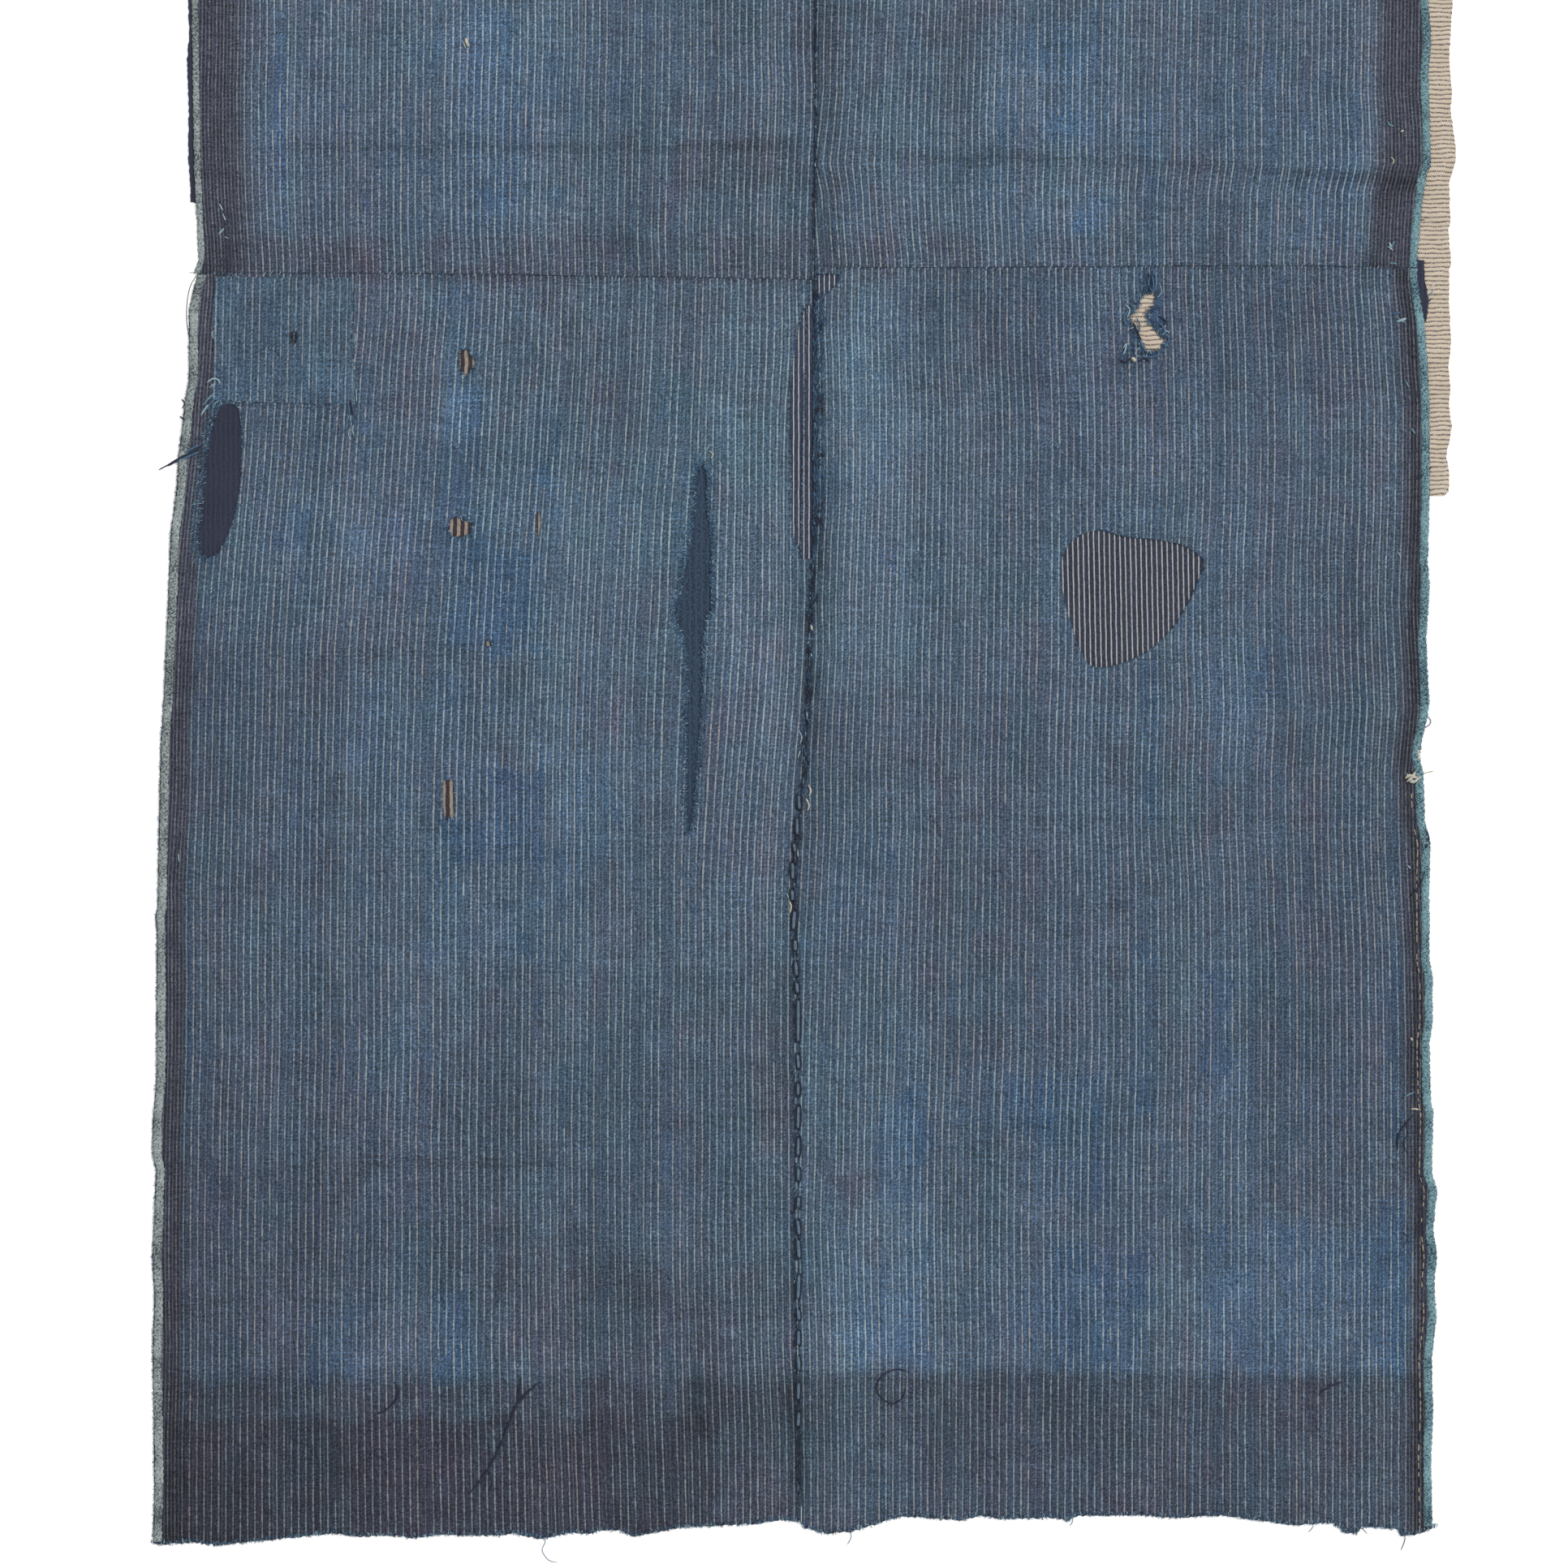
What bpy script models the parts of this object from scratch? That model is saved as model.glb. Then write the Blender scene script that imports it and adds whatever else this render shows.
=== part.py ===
"""A boro patched cloth, lying flat with its face up.

Two widths of striped indigo cotton lie side by side, and each is joined across once near the top.
Mending cloths lie under the holes and splits, and one mend is sewn on the face. Every panel touches
the ground but where a mending cloth or a crease lifts it. Metres, +Z up, +Y towards the top of the
cloth, with the origin on the ground in the middle.
"""

from collections import namedtuple
from math import ceil

import bmesh
import bpy
from mathutils import Vector

MM = 0.001

# Thickness of the cloths, the turned hems, and the space kept between two pieces.
CLOTH = 1.0 * MM
HEM = 1.8 * MM
APART = 0.3 * MM
HEM_WIDTH = 3.5 * MM
HEM_SLOPE = 2.5 * MM

# A panel rises over a mending cloth within RAMP of that cloth's edge, which it clears by MARGIN.
LIFT = CLOTH + APART
RAMP = 11.0 * MM
MARGIN = 1.0 * MM
CREASE_HALF_WIDTH = 8.0 * MM
WIDEST_CELL = 46.0 * MM
END_STRIP = 11.0 * MM
CUTTER_REACH = 8.0 * MM

TOP = 425 * MM

# The two outer edges and the middle seam, in millimetres from the middle line, from top to bottom.
Side = namedtuple("Side", "y left seam right")
SIDES = [
    Side(425, -314.0, 6.0, 322.0),
    Side(295, -312.5, 6.0, 320.0),
    Side(253, -311.0, 5.5, 315.5),
    Side(236, -311.0, 5.5, 315.0),
    Side(231, -314.0, 5.5, 316.0),
    Side(207, -315.5, 7.0, 319.0),
    Side(169, -317.5, 8.0, 322.0),
    Side(123, -322.0, 5.5, 322.0),
    Side(81, -326.5, 4.0, 322.0),
    Side(18, -329.5, 2.0, 321.0),
    Side(-16, -331.0, 0.0, 318.0),
    Side(-71, -333.0, -5.5, 322.5),
    Side(-108, -334.0, -4.5, 323.0),
    Side(-171, -335.5, -2.5, 322.0),
    Side(-297, -334.0, -2.5, 326.0),
    Side(-340, -335.0, -2.5, 324.0),
    Side(-425, -336.6, -1.0, 324.0),
]

# The seams that join each width across, at its outer and at its inner end.
Seam = namedtuple("Seam", "outer inner")
LEFT_SEAM = Seam(233.5 * MM, 229.7 * MM)
RIGHT_SEAM = Seam(236.0 * MM, 237.0 * MM)

# The torn bottom edge, in millimetres, from left to right.
Torn = namedtuple("Torn", "x y")
TORN_EDGE = [
    Torn(-337, -422.0),
    Torn(-330, -424.5),
    Torn(-304, -425.0),
    Torn(-274, -422.0),
    Torn(-242, -419.0),
    Torn(-135, -420.0),
    Torn(-104, -416.0),
    Torn(-88, -419.0),
    Torn(-46, -413.0),
    Torn(-2, -411.5),
    Torn(0, -415.0),
    Torn(12, -418.0),
    Torn(35, -414.0),
    Torn(49, -409.0),
    Torn(138, -411.5),
    Torn(172, -409.0),
    Torn(225, -409.0),
    Torn(275, -414.0),
    Torn(311, -416.5),
    Torn(324, -414.0),
]

# Mending cloths that lie on the ground under the panels, in millimetres.
Mend = namedtuple("Mend", "left right bottom top")
OVAL_PATCH = Mend(-316, -283, 79, 170)
BROWN_STRIPE_BACKING = Mend(-200, -131, -73, 202)
SLIT_PATCH = Mend(-76, -37, -65, 140)
SEAM_PATCH = Mend(-14, 23, 78, 234)
SHIELD_PATCH = Mend(126, 215, 23, 106)
BEIGE_BACKING = Mend(157, 331, 118, 425)
EDGE_BACKING = Mend(-320, -290, 269, 425)
MENDS = [
    OVAL_PATCH,
    BROWN_STRIPE_BACKING,
    SLIT_PATCH,
    SEAM_PATCH,
    SHIELD_PATCH,
    BEIGE_BACKING,
    EDGE_BACKING,
]

# The mend on the face, at the top left corner of the lower left panel.
CORNER_MEND = Mend(-304, -234, 166, 224)

# The beige backing's uneven outer edge, from its bottom to its top.
BEIGE_EDGE = [(333, 118), (331.5, 140), (334, 175), (333.5, 253), (336.6, 292), (333.5, 349), (334, 425)]

# A short navy strip beside the right edge, lying on the beige backing.
SLIVER = [(318, 239.5), (321.5, 239.5), (322, 227), (323.8, 215), (322, 202.5), (319.6, 218)]

# Outlines of the holes, in millimetres.
OVAL_HOLE = [(-303, 165), (-293, 165), (-291, 139), (-294, 108), (-305, 86), (-313, 89), (-308, 152)]
CORNER_HOLE = [(8.6, 232), (18, 232), (17.8, 228), (11.6, 222), (9.5, 222)]
SHIELD_TOP = [(147, 100), (157, 100), (184, 95), (207, 86)]
SHIELD_HOLE = SHIELD_TOP + [(203, 70), (184, 41), (157, 29), (146, 30), (133, 78)]
TORN_HOLE = [(177, 223), (181, 222), (178, 209), (187, 198), (183, 193), (177, 192), (168, 210), (173, 218)]
SLIT_LEFT_SIDE = [(-56, 130), (-56, 113), (-60, 88), (-67, 61), (-61, 41), (-60, 15), (-60.5, -40)]
SLIT_RIGHT_SIDE = [(-57, -40), (-54.5, -5), (-52.5, 28), (-47.7, 64), (-48, 93), (-50, 123)]
SLIT = [(-52.5, 134)] + SLIT_LEFT_SIDE + [(-59.4, -57)] + SLIT_RIGHT_SIDE
SEAM_GAP_SIDE = [(1, 217), (-2, 209), (-7.4, 172), (-7.8, 154), (-6, 97), (-2, 85)]
SEAM_GAP = SEAM_GAP_SIDE + [(14, 85), (16, 217)]
UPPER_SMALL_HOLE = [(-178.3, 193), (-174, 193), (-169.5, 188), (-175, 180)]
MIDDLE_SMALL_HOLE = [(-184, 103), (-180, 107), (-171.6, 104), (-172.4, 98.7), (-182, 97)]
LOWER_SMALL_HOLE = [(-187, -29), (-181.5, -29), (-181.5, -48), (-186.5, -48)]

# Creases: low ridges from one end to the other, in millimetres.
Crease = namedtuple("Crease", "x0 y0 x1 y1 height")
UPPER_LEFT_CREASES = [Crease(-70, 299, -12, 301, 1.4)]
UPPER_RIGHT_CREASES = [Crease(50, 294, 172, 291, 1.6), Crease(172, 291, 312, 280, 1.6)]
LOWER_LEFT_CREASES = [Crease(-214, -228, -55, -228, 1.2)]
LOWER_RIGHT_CREASES = [Crease(88, -47.5, 273, -47.5, 1.4)]

# Cloths by colour.
INDIGO_STRIPE = "#5B6B80"
CORNER_STRIPE = "#5F7386"
DARK_NAVY = "#383B49"
BROWN_STRIPE = "#6B5A5A"
MID_INDIGO = "#3F5168"
PINSTRIPE = "#4A5060"
DUSKY_PINSTRIPE = "#454552"
UNDYED = "#B9AB9A"


def linear(code):
    """The linear RGBA of an sRGB hex colour."""
    parts = [int(code[i : i + 2], 16) / 255 for i in (1, 3, 5)]
    return [p / 12.92 if p <= 0.04045 else ((p + 0.055) / 1.055) ** 2.4 for p in parts] + [1.0]


def cotton(name, code):
    """A matt cotton of one colour."""
    made = bpy.data.materials.new(name)
    made.use_nodes = True
    shader = made.node_tree.nodes["Principled BSDF"]
    shader.inputs["Base Color"].default_value = linear(code)
    shader.inputs["Roughness"].default_value = 0.92
    shader.inputs["Metallic"].default_value = 0.0
    made.diffuse_color = linear(code)
    return made


def between(rows, at):
    """The value at one place of a table of (place, value) rows whose places rise."""
    if at <= rows[0][0]:
        return rows[0][1]
    for (a, low), (b, high) in zip(rows, rows[1:]):
        if at <= b:
            return low + (high - low) * (at - a) / (b - a)
    return rows[-1][1]


def side(name, y):
    """How far across an outer edge or the middle seam is, at the height y."""
    rows = [(row.y * MM, getattr(row, name) * MM) for row in reversed(SIDES)]
    return between(rows, y)


def torn_edge(x):
    """The height of the torn bottom edge at x."""
    return between([(row.x * MM, row.y * MM) for row in TORN_EDGE], x)


def filled(marks, widest):
    """The marks in order, with even steps added where two of them are further apart than widest."""
    marks = sorted(set(marks))
    made = []
    for a, b in zip(marks, marks[1:]):
        steps = ceil((b - a) / widest)
        made += [a + (b - a) * i / steps for i in range(steps)]
    return made + [marks[-1]]


class Panel:
    """One width of cloth: its two sides, its ends, and what lifts it off the ground."""

    def __init__(self, half, sides, top, bottom, creases):
        self.half = half
        self.left, self.right = sides
        self.top, self.bottom = top, bottom
        self.creases = [Crease(*(value * MM for value in crease)) for crease in creases]
        self.width = self.right(0.0) - self.left(0.0)
        self.hemmed_top = top(0.0) < TOP
        self.mends = [spot for spot in (self.under(mend) for mend in MENDS) if spot]
        self.sewn_on = self.on_face(CORNER_MEND)

    def across(self, x, y):
        """How far across the panel x is at height y, from 0 at its left side to 1 at its right."""
        return (x - self.left(y)) / (self.right(y) - self.left(y))

    def under(self, mend):
        """The part of a mending cloth under this panel, with a margin round it, or None."""
        low, high = mend.bottom * MM - MARGIN, mend.top * MM + MARGIN
        lowest, highest = self.bottom(mend.left * MM), self.top(mend.left * MM)
        if high < lowest - RAMP or low > highest + RAMP:
            return None
        heights = [low + (high - low) * i / 12 for i in range(13)]
        first = min(self.across(mend.left * MM - MARGIN, y) for y in heights)
        last = max(self.across(mend.right * MM + MARGIN, y) for y in heights)
        if last < 0 or first > 1:
            return None
        return Mend(first, last, low, high)

    def on_face(self, mend):
        """The part of the panel that a mend on its face covers, or None where that is another panel."""
        first, last = (self.across(x * MM, mend.top * MM) for x in (mend.left, mend.right))
        inside = 0 < first < last < 1 and self.bottom(0.0) < mend.bottom * MM < self.top(0.0)
        return Mend(first, last, mend.bottom * MM, mend.top * MM) if inside else None

    def lift(self, u, y):
        """How high the underside is over the ground."""
        over_mend = 0.0
        for mend in self.mends:
            aside = max(mend.left - u, u - mend.right, 0.0) * self.width
            along = max(mend.bottom - y, y - mend.top, 0.0)
            over_mend = max(over_mend, LIFT * (1 - max(aside, along) / RAMP))
        in_crease = 0.0
        spot = Vector((self.left(y) + (self.right(y) - self.left(y)) * u, y))
        for crease in self.creases:
            start = Vector((crease.x0, crease.y0))
            run = Vector((crease.x1, crease.y1)) - start
            share = max(0.0, min(1.0, (spot - start).dot(run) / run.length_squared))
            away = (spot - start - run * share).length
            in_crease = max(in_crease, crease.height * (1 - away / CREASE_HALF_WIDTH))
        return over_mend + in_crease

    def columns(self):
        """Grid lines down the panel: its hems, and round each mending cloth."""
        hem, foot = HEM_WIDTH / self.width, (HEM_WIDTH + HEM_SLOPE) / self.width
        ramp = RAMP / self.width
        marks = [0.0, hem, foot, 1.0 - foot, 1.0 - hem, 1.0]
        for mend in self.mends:
            marks += [mend.left - ramp, mend.left, mend.right, mend.right + ramp]
        if self.sewn_on:
            marks += [self.sewn_on.left, self.sewn_on.right]
        return filled([m for m in marks if 0.0 <= m <= 1.0], WIDEST_CELL / self.width)

    def rows(self):
        """Grid lines across the panel, from the bottom up, without its two ends."""
        middle = self.left(0.0) + self.width / 2
        low, high = self.bottom(middle) + END_STRIP, self.top(middle) - END_STRIP
        marks = [low, high]
        for mend in self.mends:
            marks += [mend.bottom - RAMP, mend.bottom, mend.top, mend.top + RAMP]
        if self.sewn_on:
            marks += [self.sewn_on.bottom, self.sewn_on.top]
        for crease in self.creases:
            for step in (-1, 0, 1):
                marks += [crease.y0 + step * CREASE_HALF_WIDTH, crease.y1 + step * CREASE_HALF_WIDTH]
        return filled([m for m in marks if low <= m <= high], WIDEST_CELL)

    def place(self, u, y):
        """The point of the underside at a share across and a height."""
        return Vector((self.left(y) + (self.right(y) - self.left(y)) * u, y, self.lift(u, y)))

    def end(self, u, edge):
        """The point of the underside on the top or the bottom end."""
        y = edge(self.left(0.0) + self.width * u)
        for _ in range(3):
            y = edge(self.left(y) + (self.right(y) - self.left(y)) * u)
        return self.place(u, y)


def grid_object(name, lines, collection, material):
    """An open surface through rows of points, from a grid primitive moved onto them."""
    bm = bmesh.new()
    across, along = len(lines[0]), len(lines)
    bmesh.ops.create_grid(bm, x_segments=across - 1, y_segments=along - 1, size=0.5)
    ordered = sorted(bm.verts, key=lambda v: (round(v.co.y, 5), round(v.co.x, 5)))
    for vert, point in zip(ordered, [p for line in lines for p in line]):
        vert.co = point
    bm.normal_update()
    mesh = bpy.data.meshes.new(name)
    bm.to_mesh(mesh)
    bm.free()
    made = bpy.data.objects.new(name, mesh)
    made.data.materials.append(material)
    collection.objects.link(made)
    return made


def thicken(piece, thickness, thin_share=1.0):
    """Solidify upward from the underside. Points outside the hem group get thin_share of it."""
    solid = piece.modifiers.new("thickness", "SOLIDIFY")
    solid.thickness = thickness
    solid.offset = 1.0
    solid.use_rim = True
    if thin_share < 1.0:
        solid.vertex_group = "hem"
        solid.thickness_vertex_group = thin_share


def panel_object(name, panel, collection, material):
    """A panel of cloth with its turned hems."""
    columns, rows = panel.columns(), panel.rows()
    lines = [[panel.end(u, panel.bottom) for u in columns]]
    lines += [[panel.place(u, y) for u in columns] for y in rows]
    if panel.hemmed_top:
        lines.append([panel.end(u, lambda x: panel.top(x) - HEM_WIDTH) for u in columns])
    lines.append([panel.end(u, panel.top) for u in columns])
    made = grid_object(name, lines, collection, material)
    hem = made.vertex_groups.new(name="hem")
    edge = (HEM_WIDTH + HEM_SLOPE / 2) / panel.width
    for vertex in made.data.vertices:
        x, y, _ = vertex.co
        u = panel.across(x, y)
        at_side = u < edge if panel.half == "left" else u > 1 - edge
        at_seam = u < edge and panel.half == "right"
        at_top = panel.hemmed_top and y > panel.top(x) - HEM_WIDTH - HEM_SLOPE / 2
        hem.add([vertex.index], 1.0 if at_side or at_seam or at_top else 0.0, "REPLACE")
    thicken(made, HEM, CLOTH / HEM)
    return made


def outline_solid(name, points, low, high, collection, material=None, round_corners=False):
    """A flat solid between two heights, from a filled 2D curve through the points in millimetres."""
    curve = bpy.data.curves.new(name, "CURVE")
    curve.dimensions = "2D"
    curve.fill_mode = "BOTH"
    curve.extrude = (high - low) / 2
    curve.resolution_u = 3
    spline = curve.splines.new("BEZIER" if round_corners else "POLY")
    spots = spline.bezier_points if round_corners else spline.points
    spots.add(len(points) - 1)
    for spot, (x, y) in zip(spots, points):
        if round_corners:
            spot.co = (x * MM, y * MM, 0)
            spot.handle_left_type = spot.handle_right_type = "AUTO"
        else:
            spot.co = (x * MM, y * MM, 0, 1)
    spline.use_cyclic_u = True
    drawn = bpy.data.objects.new(name + "_outline", curve)
    drawn.location.z = (low + high) / 2
    collection.objects.link(drawn)
    bpy.context.view_layer.update()
    mesh = bpy.data.meshes.new_from_object(drawn.evaluated_get(bpy.context.evaluated_depsgraph_get()))
    bm = bmesh.new()
    bm.from_mesh(mesh)
    bmesh.ops.remove_doubles(bm, verts=bm.verts, dist=0.00001)
    bmesh.ops.recalc_face_normals(bm, faces=bm.faces)
    bm.to_mesh(mesh)
    bm.free()
    mesh.name = name
    made = bpy.data.objects.new(name, mesh)
    made.matrix_world = drawn.matrix_world
    collection.objects.link(made)
    bpy.data.objects.remove(drawn)
    if material:
        mesh.materials.clear()
        mesh.materials.append(material)
    return made


def corners(mend):
    """The four corners of a mending cloth, in millimetres."""
    return [
        (mend.left, mend.bottom),
        (mend.right, mend.bottom),
        (mend.right, mend.top),
        (mend.left, mend.top),
    ]


def cut(piece, name, points, cutters):
    """Cuts a hole of this outline through a panel."""
    cutter = outline_solid(name, points, -CUTTER_REACH, CUTTER_REACH, cutters, round_corners=True)
    cutter.hide_render = True
    cutter.display_type = "WIRE"
    hole = piece.modifiers.new(name, "BOOLEAN")
    hole.operation = "DIFFERENCE"
    hole.solver = "EXACT"
    hole.object = cutter


def corner_mend_object(panel, collection, material):
    """The mend sewn on the face: it follows the panel's own grid, just above its upper side."""
    spot = panel.sewn_on
    columns = [u for u in panel.columns() if spot.left <= u <= spot.right]
    rows = [y for y in panel.rows() if spot.bottom <= y <= spot.top]
    above = Vector((0, 0, CLOTH + APART))
    lines = [[panel.place(u, y) + above for u in columns] for y in rows]
    made = grid_object("corner_mend", lines, collection, material)
    thicken(made, CLOTH)
    return made


def main():
    for old in list(bpy.data.objects):
        bpy.data.objects.remove(old)
    cloth = bpy.data.collections.new("boro_cloth")
    cutters = bpy.data.collections.new("cutters")
    bpy.context.scene.collection.children.link(cloth)
    bpy.context.scene.collection.children.link(cutters)

    half_gap = APART * 2 / 3
    middle = LEFT_SEAM.inner, RIGHT_SEAM.inner
    left_run, right_run = side("seam", 0) - side("left", 0), side("right", 0) - side("seam", 0)

    def left_seam(x):
        return middle[0] + (LEFT_SEAM.outer - middle[0]) * (side("seam", 0) - x) / left_run

    def right_seam(x):
        return middle[1] + (RIGHT_SEAM.outer - middle[1]) * (x - side("seam", 0)) / right_run

    def joined_above(seam):
        return lambda x: seam(x) + half_gap

    def joined_below(seam):
        return lambda x: seam(x) - half_gap

    sides = {
        "left": (lambda y: side("left", y), lambda y: side("seam", y) - half_gap),
        "right": (lambda y: side("seam", y) + half_gap, lambda y: side("right", y)),
    }
    stripe = cotton("indigo_striped_cotton", INDIGO_STRIPE)
    for name, half, seam, creases in (
        ("upper_left_panel", "left", left_seam, UPPER_LEFT_CREASES),
        ("upper_right_panel", "right", right_seam, UPPER_RIGHT_CREASES),
    ):
        panel_object(name, Panel(half, sides[half], lambda x: TOP, joined_above(seam), creases), cloth, stripe)
    lower_left = Panel("left", sides["left"], joined_below(left_seam), torn_edge, LOWER_LEFT_CREASES)
    lower_right = Panel("right", sides["right"], joined_below(right_seam), torn_edge, LOWER_RIGHT_CREASES)
    left = panel_object("lower_left_panel", lower_left, cloth, stripe)
    right = panel_object("lower_right_panel", lower_right, cloth, stripe)
    corner_mend_object(lower_left, cloth, cotton("mending_striped_cotton", CORNER_STRIPE))

    for name, points in (
        ("oval_hole", OVAL_HOLE),
        ("slit", SLIT),
        ("seam_gap", SEAM_GAP),
        ("upper_small_hole", UPPER_SMALL_HOLE),
        ("middle_small_hole", MIDDLE_SMALL_HOLE),
        ("lower_small_hole", LOWER_SMALL_HOLE),
    ):
        cut(left, name, points, cutters)
    for name, points in (
        ("corner_hole", CORNER_HOLE),
        ("shield_hole", SHIELD_HOLE),
        ("torn_hole", TORN_HOLE),
    ):
        cut(right, name, points, cutters)

    for name, mend, finish, code in (
        ("oval_patch", OVAL_PATCH, "dark_navy_cotton", DARK_NAVY),
        ("brown_stripe_backing", BROWN_STRIPE_BACKING, "brown_striped_cotton", BROWN_STRIPE),
        ("slit_patch", SLIT_PATCH, "mid_indigo_cotton", MID_INDIGO),
        ("seam_patch", SEAM_PATCH, "dusky_pinstriped_cotton", DUSKY_PINSTRIPE),
        ("shield_patch", SHIELD_PATCH, "navy_pinstriped_cotton", PINSTRIPE),
        ("edge_backing", EDGE_BACKING, "navy_strip_cotton", DARK_NAVY),
    ):
        outline_solid(name, corners(mend), 0.0, CLOTH, cloth, cotton(finish, code))

    inner = BEIGE_BACKING.left
    beige = [(inner, BEIGE_BACKING.bottom)] + BEIGE_EDGE + [(inner, BEIGE_BACKING.top)]
    outline_solid("beige_backing", beige, 0.0, CLOTH, cloth, cotton("coarse_undyed_cotton", UNDYED))
    outline_solid("edge_sliver", SLIVER, LIFT, LIFT + CLOTH, cloth, cotton("navy_sliver_cotton", DARK_NAVY))


main()
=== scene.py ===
"""The looks of the boro patched cloth, laid flat with its face up.

Each panel and mending cloth is a thin closed sheet on its solid's place, with its holes cut out and
its creases, hems and seams raised. Stripes follow the cloth's own grain, thread by thread, and the
stitches, frayed ends and loose threads are thin tubes. Places are in millimetres from the middle of
the cloth, +Y towards its top, and turn into metres where a mesh is made.
"""

import math
import random
from collections import namedtuple

import bpy
import numpy as np
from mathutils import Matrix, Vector, kdtree
from mathutils.geometry import delaunay_2d_cdt


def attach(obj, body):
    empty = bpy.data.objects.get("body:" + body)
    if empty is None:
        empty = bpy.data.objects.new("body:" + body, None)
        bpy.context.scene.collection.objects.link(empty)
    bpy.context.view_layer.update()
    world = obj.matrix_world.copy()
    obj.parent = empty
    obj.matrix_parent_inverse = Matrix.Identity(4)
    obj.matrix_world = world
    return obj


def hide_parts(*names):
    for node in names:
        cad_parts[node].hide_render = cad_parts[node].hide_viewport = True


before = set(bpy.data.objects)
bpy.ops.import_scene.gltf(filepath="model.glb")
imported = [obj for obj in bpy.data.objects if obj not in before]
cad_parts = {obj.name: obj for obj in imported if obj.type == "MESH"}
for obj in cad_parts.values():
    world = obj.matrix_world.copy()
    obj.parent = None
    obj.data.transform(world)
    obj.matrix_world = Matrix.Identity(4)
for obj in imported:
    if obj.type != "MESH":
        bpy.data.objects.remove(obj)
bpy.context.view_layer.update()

MM = 0.001
TOP = 425.0

# Thickness of the cloths, and how far a panel rises over a mending cloth within RAMP of its edge.
CLOTH = 0.55
GROUND = 0.05
OVER_MEND = 0.6
RAMP = 9.0

# Thread spacing of the striped cotton, and its pale stripe, one thread in every eight.
THREAD = 0.47
STRIPE_PITCH = 8 * THREAD
WEFT = 0.52
# The undyed cotton's cords and the warp beads over them.
RIB_PITCH = 2.35 / 2
RIB_WARP = 0.92 / 2

# The outer edges and the middle seam: rows of height and place across.
LEFT_EDGE = [
    (425, -314.6), (374, -314.3), (320, -313.6), (290, -313), (262, -312), (240, -311), (233, -313.5),
    (222, -316.5), (214, -318), (200, -318.2), (177, -318.2), (168, -320), (152, -321.7), (139, -323.6),
    (124, -324.4), (114, -325.5), (99, -327.6), (56, -329.3), (13, -331.3), (-9, -332.8), (-95, -334.5),
    (-100, -335.6), (-108, -334.8), (-183, -335), (-208, -337), (-223, -337), (-231, -335.2),
    (-276, -337.2), (-296, -336), (-324, -337), (-392, -336), (-421, -336.8),
]
RIGHT_EDGE = [
    (425, 322), (374, 322.5), (353, 324), (336, 322.5), (306, 323.5), (290, 323.8), (281, 320.8),
    (268, 319.2), (258, 318.2), (245, 317.2), (236, 317), (230, 317), (207, 320.4), (190, 321.8), (165, 323),
    (117, 323.2), (84, 322.3), (74, 323.4), (44, 321.6), (10, 323), (3, 322), (-10, 319), (-17, 318.2),
    (-27, 320.2), (-50, 320.8), (-62, 323.8), (-77, 323.2), (-123, 323.2), (-130, 324.8), (-153, 324.9),
    (-165, 323.2), (-196, 324), (-201, 325.2), (-233, 324.4), (-241, 327.3), (-261, 325.2),
    (-276, 327), (-289, 325.7), (-306, 326.9), (-329, 324.2), (-354, 325.2), (-377, 324), (-416, 324.6),
]
MIDDLE_SEAM = [
    (425, 6), (234, 5.3), (231, 5.3), (210, 5.2), (173, 4.7), (150, 4.8), (123, 5), (81, 4.2), (49, 3),
    (18, 2), (-28, -1), (-54, -3.2), (-71, -5.4), (-88, -5.6), (-108, -4.5), (-150, -2.6), (-360, -2.4),
    (-412, -1.2),
]
# The seams that join each width across, from left to right: place across and height.
LEFT_SEAM = [(-318, 233.6), (-200, 233), (-60, 231), (7, 229.7)]
RIGHT_SEAM = [(4, 236.5), (60, 236), (160, 236.6), (250, 237), (320, 236)]
# The torn bottom edge.
TORN_EDGE = [
    (-338, -423.5), (-333.7, -424.6), (-314.8, -423.4), (-304.3, -425), (-274, -422), (-243.4, -418.7),
    (-230.8, -420.4), (-209.8, -420), (-203.5, -421.3), (-188.8, -419.6), (-157.3, -420), (-151, -418.7),
    (-136.3, -421.7), (-119.5, -418.3), (-111.1, -419.2), (-104.8, -417.1), (-96.4, -417.1), (-88, -420.4),
    (-64.9, -415.8), (-22.9, -413.7), (-12.4, -411.6), (-1.9, -412.9), (0.2, -415.8), (12.8, -419.2),
    (21.2, -417.5), (23.3, -418.3), (50.6, -409.9), (82.1, -412), (90.5, -409.5), (101, -411.2),
    (130.4, -410.8), (136.7, -412.4), (138.8, -410.3), (143, -409.5), (176.6, -409.5), (191.3, -410.8),
    (216.5, -409.5), (254.3, -414.5), (273.2, -413.3), (279.5, -418.3), (285.8, -419), (287.9, -415.8),
    (292.1, -415.4), (306.8, -416.6), (308.9, -420), (315.2, -419.6), (321.5, -417.5), (328, -415),
]

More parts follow.
